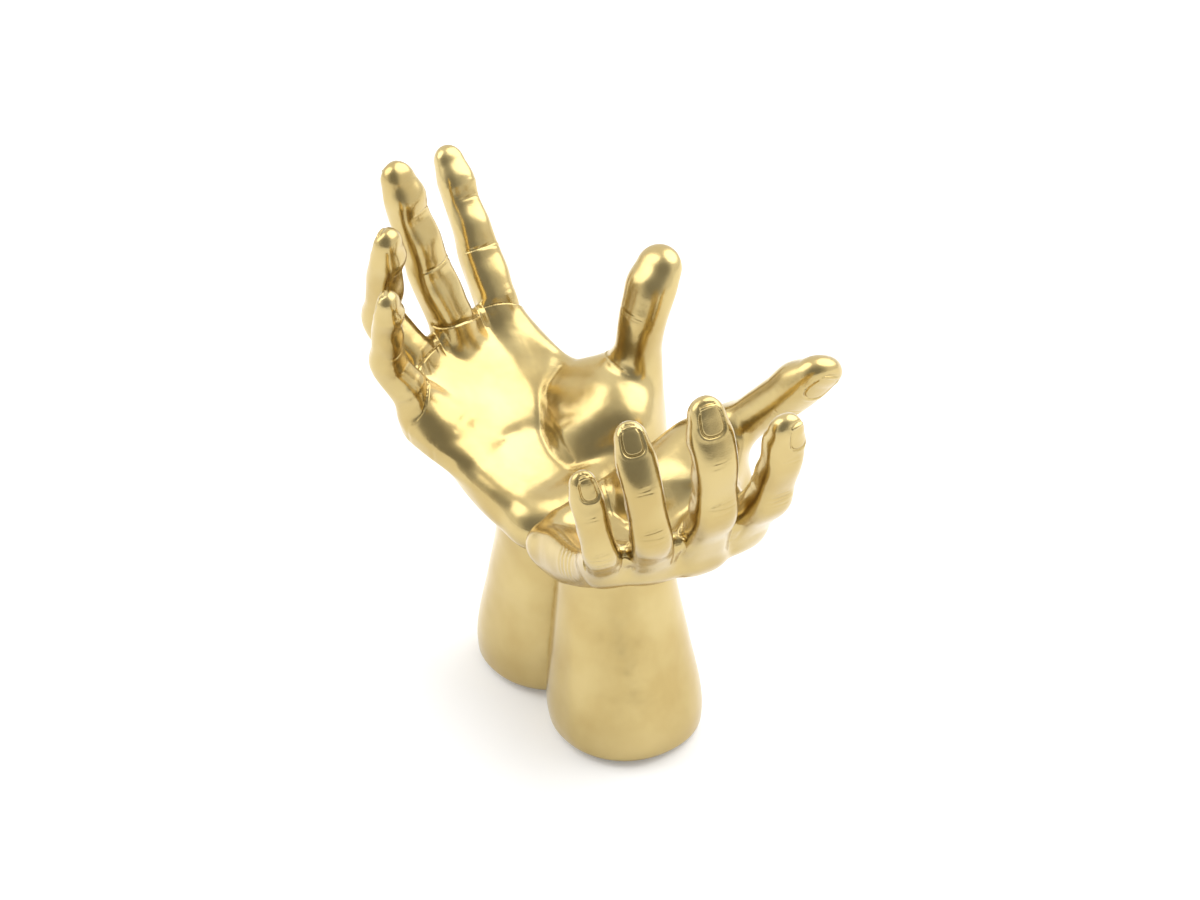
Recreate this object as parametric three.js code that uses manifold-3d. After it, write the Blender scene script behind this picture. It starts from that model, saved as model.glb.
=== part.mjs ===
// A pair of open, cupped hands on two short forearms, cast in resin and painted gold.
// Millimetres, +Z up, floor at z = 0. X runs from the right hand (-X) to the left hand (+X),
// Y from the little fingers (-Y) to the thumbs (+Y). The hands are described about the plane
// x = 0 where they meet, and the finished statue is moved to stand centred on the origin.
import * as THREE from "three";
import Module from "manifold-3d";

const wasm = await Module();
wasm.setup();
const { Manifold } = wasm;

// Sizes of the assembly
const PAD_THICKNESS = 1.5;
const PAD_INSET = 5;
const FIT_GAP = 0.3;
const ARM_FLOOR = PAD_THICKNESS + FIT_GAP;
const MIDDLE_GAP = 0.3;
const BOTTOM_EDGE_ROUND = 3;
const ARM_WALL = 5.5;
const ARM_INNER_WALL = 8;
const ARM_CAVITY_TOP = 48;
const PLUG_THICKNESS = 6;
const DOWEL_RADIUS = 4;
const DOWEL_IN_ARM = 15;
const DOWEL_IN_HAND = 13;
const TIE_PIN_RADIUS = 3;
const TIE_PIN_LENGTH = 10;
const TIE_PIN_HEIGHTS = [18, 36];
const PIN_GAP = 0.15;
const MIDDLE_OF_STATUE = [-9.9, 4.6, 0];

// Detail of the cast surfaces
const HAND_GRID = 3.8;
const HAND_TOLERANCE = 0.45;
const SNAP_TO_CUT = 0.7;
const FOLD_FILLET = 1.5;
const ARM_SIDES = 40;
const PIN_SIDES = 24;

const FINGERS = ["index", "middle", "ring", "little"];

// Each hand is described as a right hand at -X in its own palm frame: s towards the thumb side,
// p towards the fingers, n out of the palm. "turn" is the rotation vector of that frame.
// Bones run from the knuckle to the centre of the fingertip. Bends are in degrees: the spread
// of the finger, then its knuckle, middle and end joints.
const RIGHT_HAND = {
  side: -1,
  wrist: [-6, 4, 89.3],
  turn: [0.088, 0.268, 0.018],
  knuckles: {
    index: [23.2, 88.2, 2.2],
    middle: [2.1, 90, 1.9],
    ring: [-16.6, 83.1, 3.5],
    little: [-32.1, 72.7, 7.1],
  },
  bones: { index: [44, 25, 18], middle: [49, 29, 19], ring: [45, 28, 20], little: [36, 20, 16] },
  bends: {
    index: [8.4, 38, 0, 0],
    middle: [-13.3, 57.6, 3.2, 2.5],
    ring: [-28.1, 43.2, 46.5, 0],
    little: [-35.1, 52.8, 34.7, 0],
  },
  halfWidths: {
    index: [9.9, 9.3, 8],
    middle: [10.3, 9.5, 9],
    ring: [9.7, 8.9, 8.3],
    little: [8.9, 7.9, 7.1],
  },
  backs: { index: 1, middle: 1, ring: 1, little: 1 },
  thumbRoot: [20, 22, 1],
  thumbBones: [40, 34, 20],
  thumbBends: { spread: 65.7, lift: 37.7, roll: 30.2, middle: 44.1, end: -25.1 },
  outerPad: { centre: [-26, 32, 5], radii: [10, 36, 12] },
  hollow: { centre: [-4, 42, 22], radii: [24, 42, 20] },
  thumbBall: { shift: [0, 0, 0], radii: [15, 29, 17] },
  arm: { foot: [-29, 1], top: [-25.5, 2.5], topRadius: 26 },
  fold: { height: 76.6, slope: 0.28 },
  dowel: [-24, 14],
};
const LEFT_HAND = {
  side: 1,
  wrist: [-6, 0, 84.3],
  turn: [0.007, 0.421, 0.118],
  knuckles: {
    index: [22.5, 86.6, 6.9],
    middle: [2.1, 90.5, 4.7],
    ring: [-16.5, 84.2, 5.4],
    little: [-31.8, 73.7, 8.5],
  },
  bones: { index: [44, 25, 18], middle: [47, 29, 19], ring: [43, 28, 19], little: [35, 20, 16] },
  bends: {
    index: [0, 30.8, 12, 10.8],
    middle: [-8.7, 37.5, 16, 28.4],
    ring: [-19.5, 32.8, 28.3, 33.5],
    little: [-24.5, 28.1, 30.6, 14.1],
  },
  halfWidths: {
    index: [10.2, 9.1, 8.4],
    middle: [10, 9.3, 9.1],
    ring: [8.9, 8.5, 8.1],
    little: [7.9, 7.3, 6.8],
  },
  backs: { index: 0.62, middle: 0.62, ring: 0.75, little: 0.85 },
  thumbRoot: [22, 24, 4],
  thumbBones: [45.5, 34, 23],
  thumbBends: { spread: 77, lift: 40.9, roll: -77.4, middle: 45.2, end: 0.3 },
  outerPad: { centre: [-28.5, 32, 5], radii: [8, 36, 13] },
  hollow: { centre: [-6, 36, 21], radii: [27, 42, 21] },
  thumbBall: { shift: [-4, 2, 2], radii: [18, 29, 18] },
  arm: { foot: [-29, -2], top: [-19.5, -1], topRadius: 23.5 },
  fold: { height: 73.7, slope: 0.315 },
  dowel: [-21, 10],
};

const radians = (degrees) => (degrees * Math.PI) / 180;
const add = (a, b) => [a[0] + b[0], a[1] + b[1], a[2] + b[2]];
const sub = (a, b) => [a[0] - b[0], a[1] - b[1], a[2] - b[2]];
const times = (a, k) => [a[0] * k, a[1] * k, a[2] * k];
const dot = (a, b) => a[0] * b[0] + a[1] * b[1] + a[2] * b[2];
const cross = (a, b) => [a[1] * b[2] - a[2] * b[1], a[2] * b[0] - a[0] * b[2], a[0] * b[1] - a[1] * b[0]];
const size = (a) => Math.hypot(a[0], a[1], a[2]);
const unit = (a) => times(a, 1 / size(a));
const mix = (a, b, t) => add(times(a, 1 - t), times(b, t));
const clamp = (x, low, high) => Math.min(Math.max(x, low), high);

// Distances of two bodies, joined with a fillet about as wide as k
function blend(a, b, k) {
  const h = clamp(0.5 + (0.5 * (b - a)) / k, 0, 1);
  return b + (a - b) * h - k * h * (1 - h);
}

function carve(a, b, k) {
  return -blend(-a, b, k);
}

// A smooth curve through (station, value) points that never overshoots them
function makeCurve(stations, values) {
  const last = stations.length - 1;
  const slopes = [];
  for (let i = 0; i < last; i++) {
    slopes.push((values[i + 1] - values[i]) / (stations[i + 1] - stations[i]));
  }
  const tangents = [slopes[0]];
  for (let i = 1; i < last; i++) {
    const product = slopes[i - 1] * slopes[i];
    tangents.push(product <= 0 ? 0 : (2 * product) / (slopes[i - 1] + slopes[i]));
  }
  tangents.push(slopes[last - 1]);
  return (x) => {
    const at = clamp(x, stations[0], stations[last]);
    let i = 0;
    while (i < last - 1 && at >= stations[i + 1]) {
      i += 1;
    }
    const h = stations[i + 1] - stations[i];
    const t = (at - stations[i]) / h;
    const start = (2 * t ** 3 - 3 * t ** 2 + 1) * values[i] + (t ** 3 - 2 * t ** 2 + t) * h * tangents[i];
    const end = (-2 * t ** 3 + 3 * t ** 2) * values[i + 1] + (t ** 3 - t ** 2) * h * tangents[i + 1];
    return start + end;
  };
}

// Points along a chain of joints, with each joint rounded like bent flesh
function bentLine(joints, roundness, step) {
  const path = [joints[0]];
  for (let i = 1; i < joints.length - 1; i++) {
    const back = sub(joints[i - 1], joints[i]);
    const ahead = sub(joints[i + 1], joints[i]);
    const r = Math.min(roundness, 0.45 * size(back), 0.45 * size(ahead));
    const from = add(joints[i], times(unit(back), r));
    const to = add(joints[i], times(unit(ahead), r));
    for (const t of [0, 1 / 3, 2 / 3, 1]) {
      path.push(mix(mix(from, joints[i], t), mix(joints[i], to, t), t));
    }
  }
  path.push(joints[joints.length - 1]);
  const arcs = [0];
  for (let i = 1; i < path.length; i++) {
    arcs.push(arcs[i - 1] + size(sub(path[i], path[i - 1])));
  }
  const total = arcs[arcs.length - 1];
  const count = Math.max(2, Math.ceil(total / step));
  const points = [];
  let k = 0;
  for (let i = 0; i <= count; i++) {
    const s = (total * i) / count;
    while (k < path.length - 2 && s > arcs[k + 1]) {
      k += 1;
    }
    points.push(mix(path[k], path[k + 1], (s - arcs[k]) / (arcs[k + 1] - arcs[k])));
  }
  return { points, total };
}

function tangentsOf(points) {
  return points.map((_, i) => {
    const before = points[Math.max(i - 1, 0)];
    const after = points[Math.min(i + 1, points.length - 1)];
    return unit(sub(after, before));
  });
}

const FAR = 19;
const REACH = 14;

// A rounded limb: its half width, front and back thickness change along a bent centre line
function makeLimb({ points, sides, fronts, stations, widths, front, back, power, startCap, endCap }) {
  const widthAt = makeCurve(stations, widths);
  const frontAt = makeCurve(stations, front);
  const backAt = makeCurve(stations, back);
  const arcs = [0];
  for (let i = 1; i < points.length; i++) {
    arcs.push(arcs[i - 1] + size(sub(points[i], points[i - 1])));
  }
  const thickest = Math.max(...widths, ...front, ...back);
  const low = [0, 1, 2].map((k) => Math.min(...points.map((p) => p[k])) - thickest - REACH);
  const high = [0, 1, 2].map((k) => Math.max(...points.map((p) => p[k])) + thickest + REACH);
  const last = points.length - 2;
  return (p) => {
    if (p.some((v, k) => v < low[k] || v > high[k])) {
      return FAR;
    }
    let best = Infinity;
    let at = 0;
    let along = 0;
    let beyond = 0;
    for (let i = 0; i <= last; i++) {
      const bone = sub(points[i + 1], points[i]);
      const length = size(bone);
      const a = dot(sub(p, points[i]), bone) / (length * length);
      const t = clamp(a, 0, 1);
      const offset = sub(p, add(points[i], times(bone, t)));
      const squared = dot(offset, offset);
      if (squared < best) {
        best = squared;
        at = i;
        along = t;
        beyond = (i === 0 && a < 0) || (i === last && a > 1) ? (a - t) * length : 0;
      }
    }
    const offset = sub(p, mix(points[at], points[at + 1], along));
    const arc = arcs[at] + (arcs[at + 1] - arcs[at]) * along;
    const x = Math.abs(dot(offset, mix(sides[at], sides[at + 1], along)));
    const y = dot(offset, mix(fronts[at], fronts[at + 1], along));
    const w = widthAt(arc);
    const h = y > 0 ? frontAt(arc) : backAt(arc);
    const cap = beyond < 0 ? startCap : endCap;
    const ux = x / w;
    const uy = Math.abs(y) / h;
    const uz = Math.abs(beyond) / cap;
    const section = Math.max((ux ** power + uy ** power) ** (1 / power), 1e-6);
    const rho = Math.hypot(section, uz);
    const gx = (ux / section) ** (power - 1) / w;
    const gy = (uy / section) ** (power - 1) / h;
    const gradient = Math.sqrt((section / rho) ** 2 * (gx * gx + gy * gy) + (uz / rho / cap) ** 2);
    return Math.min((rho - 1) / Math.max(gradient, 0.5 / thickest), FAR);
  };
}

function ellipsoid(p, centre, axes, radii) {
  const q = sub(p, centre);
  const local = axes.map((axis) => dot(q, axis));
  const inner = Math.hypot(...local.map((v, k) => v / radii[k]));
  const outer = Math.hypot(...local.map((v, k) => v / radii[k] ** 2));
  return (inner * (inner - 1)) / Math.max(outer, 1e-6);
}

// A thin web of skin: the triangle a, b, c with a rounded thickness
function web(p, [a, b, c], thickness) {
  const normal = cross(sub(b, a), sub(c, a));
  const edges = [[a, b], [b, c], [c, a]];
  let inside = 0;
  let nearest = Infinity;
  for (const [from, to] of edges) {
    const edge = sub(to, from);
    const q = sub(p, from);
    inside += Math.sign(dot(q, cross(normal, edge)));
    const t = clamp(dot(q, edge) / dot(edge, edge), 0, 1);
    const rest = sub(q, times(edge, t));
    nearest = Math.min(nearest, dot(rest, rest));
  }
  if (inside >= 2) {
    return Math.abs(dot(sub(p, a), normal)) / size(normal) - thickness;
  }
  return Math.sqrt(nearest) - thickness;
}

function rotationColumns(vector) {
  const angle = size(vector);
  const k = unit(vector);
  const turn = (v) => {
    const part = times(v, Math.cos(angle));
    const swing = times(cross(k, v), Math.sin(angle));
    return add(add(part, swing), times(k, dot(k, v) * (1 - Math.cos(angle))));
  };
  return [turn([0, 1, 0]), turn([-1, 0, 0]), turn([0, 0, 1])];
}

// The palm frame: "toWorld" moves a point, "turn" only a direction
function palmFrame(hand) {
  const columns = rotationColumns(hand.turn);
  const turn = (v) => add(add(times(columns[0], v[0]), times(columns[1], v[1])), times(columns[2], v[2]));
  return { axes: columns, turn, toWorld: (v) => add(hand.wrist, turn(v)) };
}

const FINGER_START = 12;
const FINGER_ROUND = 7;
const LINE_STEP = 3;

// One finger from inside the palm to its tip. Factors along it are multiples of the half width
// at the knuckle, middle joint and end joint.
function makeFinger(hand, frame, name) {
  const [spread, ...bends] = hand.bends[name].map(radians);
  const bones = hand.bones[name];
  const ahead = [Math.sin(spread), Math.cos(spread), 0];
  const side = [Math.cos(spread), -Math.sin(spread), 0];
  const out = [0, 0, 1];
  const joints = [hand.knuckles[name]];
  let bend = 0;
  bones.forEach((bone, i) => {
    bend += bends[i];
    const step = add(times(ahead, Math.cos(bend)), times(out, Math.sin(bend)));
    joints.push(add(joints[i], times(step, bone)));
  });
  const start = sub(sub(joints[0], times(ahead, FINGER_START)), out);
  const { points, total } = bentLine([start, ...joints], FINGER_ROUND, LINE_STEP);
  const fronts = tangentsOf(points).map((t) => cross(side, t));
  const [first, middle, end] = bones;
  const knuckle = FINGER_START;
  const stations = [0, knuckle, knuckle + 0.55 * first, knuckle + first, knuckle + first + 0.5 * middle,
    knuckle + first + middle, knuckle + first + middle + 0.5 * end, total];
  const [w0, w1, w2] = hand.halfWidths[name];
  const base = [w0, w0, (w0 + w1) / 2, w1, (w1 + w2) / 2, w2, w2, w2];
  const scaled = (factors) => factors.map((factor, i) => factor * base[i]);
  const thin = hand.backs[name];
  return {
    joints: joints.map(frame.toWorld),
    distance: makeLimb({
      points: points.map(frame.toWorld),
      sides: points.map(() => frame.turn(side)),
      fronts: fronts.map(frame.turn),
      stations,
      widths: scaled([1, 1, 0.95, 1, 0.95, 1, 1.03, 0.84]),
      front: scaled([0.8, 0.92, 1.02, 0.84, 0.96, 0.82, 1.02, 0.74]),
      back: scaled([0.8 * thin, thin, 0.84, 1, 0.8, 0.86, 0.72, 0.6]),
      power: 2.35,
      startCap: 0.8 * w0,
      endCap: 0.98 * w2,
    }),
  };
}

const PALM_ROOTS = { index: [13, 8, 0], middle: [3, 4, 0], ring: [-8, 4, 0], little: [-17, 8, 2] };

// The part of the palm that lies over one bone, from the wrist to a knuckle
function makePalmRay(hand, frame, name) {
  const from = PALM_ROOTS[name];
  const to = hand.knuckles[name];
  const bowed = add(mix(from, to, 0.5), [0, 0, -1]);
  const { points, total } = bentLine([from, bowed, to], 20, 9);
  const tangents = tangentsOf(points);
  const fronts = tangents.map((t) => unit(cross([1, 0, 0], t)));
  const sides = tangents.map((t, i) => cross(t, fronts[i]));
  const thin = hand.backs[name];
  return makeLimb({
    points: points.map(frame.toWorld),
    sides: sides.map(frame.turn),
    fronts: fronts.map(frame.turn),
    stations: [0, total / 2, total],
    widths: [11, 11.5, 1.08 * hand.halfWidths[name][0]],
    front: [10, 9.5, 9],
    back: [9, 4.25 * (1 + thin), 10 * thin],
    power: 2.2,
    startCap: 10,
    endCap: 8,
  });
}

function makeThumb(hand, frame) {
  const { spread, lift, roll, middle, end } = hand.thumbBends;
  const flat = Math.cos(radians(lift));
  const level = [Math.sin(radians(spread)), Math.cos(radians(spread)), 0];
  const along = add(times(level, flat), [0, 0, Math.sin(radians(lift))]);
  const inward = unit(add([-1, 0, 0], times(along, along[0])));
  const across = cross(along, inward);
  const curl = add(times(inward, Math.cos(radians(roll))), times(across, Math.sin(radians(roll))));
  const joints = [hand.thumbRoot];
  let bend = 0;
  [0, middle, end].forEach((angle, i) => {
    bend += radians(angle);
    const step = add(times(along, Math.cos(bend)), times(curl, Math.sin(bend)));
    joints.push(add(joints[i], times(step, hand.thumbBones[i])));
  });
  const { points, total } = bentLine(joints, 9, LINE_STEP);
  const facing = unit([-1, 0, 0.35]);
  const tangents = tangentsOf(points);
  const fronts = tangents.map((t) => unit(sub(facing, times(t, dot(t, facing)))));
  const sides = tangents.map((t, i) => cross(t, fronts[i]));
  const [root, first, tip] = hand.thumbBones;
  return {
    joints: joints.map(frame.toWorld),
    ballFront: frame.turn(fronts[Math.floor(points.length / 3)]),
    distance: makeLimb({
      points: points.map(frame.toWorld),
      sides: sides.map(frame.turn),
      fronts: fronts.map(frame.turn),
      stations: [0, 0.55 * root, root, root + 0.5 * first, root + first,
        root + first + 0.5 * tip, total],
      widths: [13, 12.5, 12, 10.2, 10.9, 11.4, 9.4],
      front: [15, 16, 12, 9.8, 9, 10.5, 8],
      back: [11, 10, 11, 8.6, 9.4, 7.8, 6.4],
      power: 2.3,
      startCap: 13,
      endCap: 10.5,
    }),
  };
}

function makeHeel(frame) {
  const points = [[0, -2, 0], [0, 6, 0], [0, 14, 0], [0, 24, 0]];
  return makeLimb({
    points: points.map(frame.toWorld),
    sides: points.map(() => frame.axes[0]),
    fronts: points.map(() => frame.axes[2]),
    stations: [0, 14, 26],
    widths: [25, 28, 29],
    front: [10, 12, 10],
    back: [9.5, 10, 9],
    power: 2.6,
    startCap: 9,
    endCap: 9,
  });
}

// The hand alone, as a distance to its skin
function makeHandField(hand) {
  const frame = palmFrame(hand);
  const fingers = FINGERS.map((name) => makeFinger(hand, frame, name));
  const rays = FINGERS.map((name) => makePalmRay(hand, frame, name));
  const thumb = makeThumb(hand, frame);
  const heel = makeHeel(frame);

  const padCentre = frame.toWorld(hand.outerPad.centre);
  const heelCentre = frame.toWorld([0, 2, 4]);
  const hollowCentre = frame.toWorld(hand.hollow.centre);
  const knucklePads = FINGERS.map((name) => frame.toWorld(add(hand.knuckles[name], [0, -2, 5.5])));

  const [root, knuckle, thumbMiddle] = thumb.joints;
  const ballAlong = unit(sub(knuckle, root));
  const ballOut = unit(sub(thumb.ballFront, times(ballAlong, dot(thumb.ballFront, ballAlong))));
  const ballAxes = [cross(ballAlong, ballOut), ballAlong, ballOut];
  const ballShift = add(times(ballAlong, -4), times(ballOut, 2));
  const ballCentre = add(add(mix(root, knuckle, 0.55), ballShift), frame.turn(hand.thumbBall.shift));

  const webRoot = frame.toWorld([14, 24, 2]);
  const webThumb = mix(knuckle, thumbMiddle, 0.08);
  const webIndex = add(mix(fingers[0].joints[0], fingers[0].joints[1], 0.26), times(frame.axes[0], 3));
  const webMiddle = mix(mix(webThumb, webIndex, 0.5), webRoot, 0.16);
  const thumbWebs = [[webRoot, webThumb, webMiddle], [webRoot, webMiddle, webIndex]];

  const webLift = times(frame.axes[2], 1.5);
  const fingerWebs = [];
  for (let i = 0; i < 3; i++) {
    const [a, b] = [fingers[i].joints, fingers[i + 1].joints];
    const rootsAndEdge = [a[0], mix(a[0], a[1], 0.42), b[0], mix(b[0], b[1], 0.42)];
    const corners = rootsAndEdge.map((v) => add(v, webLift));
    fingerWebs.push([corners[0], corners[1], corners[2]], [corners[2], corners[1], corners[3]]);
  }

  const palm = (p) => {
    let d = heel(p);
    for (const ray of rays) {
      d = blend(d, ray(p), 9);
    }
    d = blend(d, ellipsoid(p, padCentre, frame.axes, hand.outerPad.radii), 7);
    d = blend(d, ellipsoid(p, heelCentre, frame.axes, [28, 10, 9]), 6);
    d = carve(d, ellipsoid(p, hollowCentre, frame.axes, hand.hollow.radii), 6);
    for (const pad of knucklePads) {
      d = blend(d, ellipsoid(p, pad, frame.axes, [9, 12, 6]), 6);
    }
    const ball = ellipsoid(p, ballCentre, ballAxes, hand.thumbBall.radii);
    return blend(d, blend(thumb.distance(p), ball, 6), 5);
  };
  return (p) => {
    let d = palm(p);
    d = blend(d, Math.min(...thumbWebs.map((corners) => web(p, corners, 4.2))), 8);
    let spread = fingers[0].distance(p);
    for (const finger of fingers.slice(1)) {
      spread = blend(spread, finger.distance(p), 2.5);
    }
    for (let i = 0; i < fingerWebs.length; i += 2) {
      const skin = Math.min(web(p, fingerWebs[i], 6), web(p, fingerWebs[i + 1], 6));
      spread = blend(spread, skin, 4.5);
    }
    return blend(d, spread, 6);
  };
}

const ARM_POWER = 2.15;
const ARM_IN_HAND = 7;
const ARM_LOFT_TOP = 104;

// Radius and centre of a forearm's level sections
function makeArm(hand) {
  const { foot, top, topRadius } = hand.arm;
  const height = hand.wrist[2] - ARM_FLOOR;
  const stations = [0, 0.12, 0.5, 0.8, 1].map((t) => t * height);
  const radii = [31.8, 32.8, 28.9, 0.3 * topRadius + 18.3, topRadius];
  const radiusAt = makeCurve(stations, radii);
  return {
    radius: (z) => radiusAt(z - ARM_FLOOR),
    centre: (z) => {
      const t = clamp((z - ARM_FLOOR) / height, 0, 1);
      return [foot[0] + (top[0] - foot[0]) * t, foot[1] + (top[1] - foot[1]) * t];
    },
  };
}

// The plane of the fold at the wrist, raised by "lift"
function foldPlane(hand, lift) {
  const { height, slope } = hand.fold;
  const tilt = Math.hypot(slope, 1);
  return { normal: [slope / tilt, 0, 1 / tilt], offset: (height + lift) / tilt };
}

// The upper end of a forearm, as a distance to its skin. It ends inside the hand.
function makeArmField(hand) {
  const arm = makeArm(hand);
  const end = foldPlane(hand, ARM_IN_HAND);
  return (p) => {
    const [x, y] = arm.centre(p[2]);
    const reach = (Math.abs(p[0] - x) ** ARM_POWER + Math.abs(p[1] - y) ** ARM_POWER) ** (1 / ARM_POWER);
    return carve(reach - arm.radius(p[2]), end.offset - dot(p, end.normal), 4);
  };
}

// A body made of level sections, from the lowest to the highest
function loft(sections, sides, power) {
  const vertices = [];
  const triangles = [];
  for (const { z, x, y, radius } of sections) {
    for (let i = 0; i < sides; i++) {
      const angle = (2 * Math.PI * i) / sides;
      const c = Math.cos(angle);
      const s = Math.sin(angle);
      const px = x + radius * Math.sign(c) * Math.abs(c) ** (2 / power);
      const py = y + radius * Math.sign(s) * Math.abs(s) ** (2 / power);
      vertices.push(px, py, z);
    }
  }
  for (let k = 0; k < sections.length - 1; k++) {
    for (let i = 0; i < sides; i++) {
      const a = k * sides + i;
      const b = k * sides + ((i + 1) % sides);
      triangles.push(a, b, b + sides, a, b + sides, a + sides);
    }
  }
  const first = sections[0];
  const last = sections[sections.length - 1];
  const low = vertices.length / 3;
  vertices.push(first.x, first.y, first.z, last.x, last.y, last.z);
  const upper = (sections.length - 1) * sides;
  for (let i = 0; i < sides; i++) {
    const next = (i + 1) % sides;
    triangles.push(low, next, i, low + 1, upper + i, upper + next);
  }
  const mesh = new wasm.Mesh({
    numProp: 3,
    vertProperties: Float32Array.from(vertices),
    triVerts: Uint32Array.from(triangles),
  });
  return Manifold.ofMesh(mesh);
}

function armSections(arm, from, to, count, shrink) {
  const sections = [];
  for (let i = 0; i <= count; i++) {
    const z = from + ((to - from) * i) / count;
    const [x, y] = arm.centre(z);
    sections.push({ z, x, y, radius: arm.radius(z) - shrink });
  }
  return sections;
}

// Cuts a body along a plane and keeps the side that the normal points to. Corners close to the
// plane are moved onto it first, so that the cut leaves no slivers.
function cutAlong(body, { normal, offset }) {
  const settled = body.warp((v) => {
    const away = dot(v, normal) - offset;
    if (Math.abs(away) < SNAP_TO_CUT) {
      normal.forEach((n, k) => {
        v[k] -= n * away;
      });
    }
  });
  return settled.trimByPlane(normal, offset);
}

// Everything of a body at x below -gap, on the side of the right hand
const keepRightOf = (body, gap) => cutAlong(body, { normal: [-1, 0, 0], offset: gap });

const foldHeightAt = (hand, x) => hand.fold.height - hand.fold.slope * x;

function pin(radius, length, axis, centre) {
  const body = Manifold.cylinder(length, radius, radius, PIN_SIDES, true);
  const turned = axis === "x" ? body.rotate([0, 90, 0]) : body;
  return turned.translate(centre);
}

function wristDowel(hand, extra) {
  const [x, y] = hand.dowel;
  const low = foldHeightAt(hand, x) - DOWEL_IN_ARM - extra;
  const high = foldHeightAt(hand, x) + DOWEL_IN_HAND + extra;
  return pin(DOWEL_RADIUS + extra, high - low, "z", [x, y, (low + high) / 2]);
}

function tiePin(height, extra) {
  return pin(TIE_PIN_RADIUS + extra, TIE_PIN_LENGTH + 2 * extra, "x", [0, 0, height]);
}

const HAND_BOX = { min: [-154, -76, 50], max: [14, 92, 230] };

function makeHand(hand) {
  const field = makeHandField(hand);
  const armField = makeArmField(hand);
  const skin = (p) => -blend(field(p), armField(p), FOLD_FILLET);
  const casting = Manifold.levelSet(skin, HAND_BOX, HAND_GRID, 0, HAND_TOLERANCE);
  const above = cutAlong(casting.simplify(HAND_TOLERANCE), foldPlane(hand, 0));
  return keepRightOf(above, MIDDLE_GAP / 2).subtract(wristDowel(hand, PIN_GAP));
}

function makeForearm(hand) {
  const arm = makeArm(hand);
  const rounded = [0, 0.3, 0.9, 1.8, 3].map((h) => {
    const z = ARM_FLOOR + h;
    const [x, y] = arm.centre(z);
    const lost = BOTTOM_EDGE_ROUND - Math.sqrt(BOTTOM_EDGE_ROUND ** 2 - (BOTTOM_EDGE_ROUND - h) ** 2);
    return { z, x, y, radius: arm.radius(z) - lost };
  });
  const upper = armSections(arm, ARM_FLOOR + 6, ARM_LOFT_TOP, 9, 0);
  const outside = loft([...rounded, ...upper], ARM_SIDES, ARM_POWER);
  const cavity = loft(armSections(arm, ARM_FLOOR - 2, ARM_CAVITY_TOP, 5, ARM_WALL), ARM_SIDES, ARM_POWER);
  const fold = foldPlane(hand, -FIT_GAP);
  const below = { normal: times(fold.normal, -1), offset: -fold.offset };
  let body = keepRightOf(cutAlong(outside, below), MIDDLE_GAP / 2);
  body = body.subtract(keepRightOf(cavity, ARM_INNER_WALL)).subtract(wristDowel(hand, PIN_GAP));
  for (const height of TIE_PIN_HEIGHTS) {
    body = body.subtract(tiePin(height, PIN_GAP));
  }
  return body;
}

function makeBasePlug(hand) {
  const arm = makeArm(hand);
  const top = ARM_FLOOR + PLUG_THICKNESS;
  const body = loft(armSections(arm, ARM_FLOOR, top, 1, ARM_WALL + FIT_GAP), ARM_SIDES, ARM_POWER);
  return keepRightOf(body, ARM_INNER_WALL + FIT_GAP);
}

function makeFeltPad(hand) {
  const arm = makeArm(hand);
  const [x, y] = arm.centre(ARM_FLOOR);
  const radius = arm.radius(ARM_FLOOR) - PAD_INSET;
  const sections = [0, PAD_THICKNESS].map((z) => ({ z, x, y, radius }));
  return keepRightOf(loft(sections, ARM_SIDES, ARM_POWER), PAD_INSET);
}

const finish = (color, metalness, roughness) => () =>
  new THREE.MeshStandardMaterial({ color, metalness, roughness });
const goldPaint = finish(0xd2b26a, 0.9, 0.35);
const steel = finish(0x9a9ca0, 1, 0.4);
const resin = finish(0xd8d2c4, 0, 0.7);
const felt = finish(0x2b2a28, 0, 1);

function toMesh(name, body, material) {
  const placed = body.translate(times(MIDDLE_OF_STATUE, -1));
  const { numProp, vertProperties, triVerts } = placed.getMesh();
  const positions = new Float32Array((vertProperties.length / numProp) * 3);
  for (let i = 0; i < positions.length / 3; i++) {
    for (let k = 0; k < 3; k++) {
      positions[3 * i + k] = vertProperties[numProp * i + k];
    }
  }
  const geometry = new THREE.BufferGeometry();
  geometry.setAttribute("position", new THREE.BufferAttribute(positions, 3));
  geometry.setIndex(Array.from(triVerts));
  geometry.computeVertexNormals();
  const mesh = new THREE.Mesh(geometry, material);
  mesh.name = name;
  return mesh;
}

const statue = new THREE.Group();
statue.name = "hands_statue";
for (const hand of [RIGHT_HAND, LEFT_HAND]) {
  const label = hand.side < 0 ? "right" : "left";
  const place = (body) => (hand.side < 0 ? body : body.mirror([1, 0, 0]));
  statue.add(toMesh(`${label}_hand`, place(makeHand(hand)), goldPaint()));
  statue.add(toMesh(`${label}_forearm`, place(makeForearm(hand)), goldPaint()));
  statue.add(toMesh(`${label}_wrist_dowel`, place(wristDowel(hand, 0)), steel()));
  statue.add(toMesh(`${label}_base_plug`, place(makeBasePlug(hand)), resin()));
  statue.add(toMesh(`${label}_felt_pad`, place(makeFeltPad(hand)), felt()));
}
["lower", "upper"].forEach((level, i) => {
  statue.add(toMesh(`${level}_tie_pin`, tiePin(TIE_PIN_HEIGHTS[i], 0), steel()));
});

export default statue;
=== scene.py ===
# %% [markdown]
# # Two cupped hands in satin gold
#
# The object is a table statue: two open hands, palms up, on short forearms that stand side by
# side. It is cast in resin, so every part of a hand runs into the next without an edge, and then
# sprayed with a fine metallic gold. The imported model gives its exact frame, and this script
# dresses that frame with the finer skin, the nails, the creases and the paint.

import math

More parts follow.
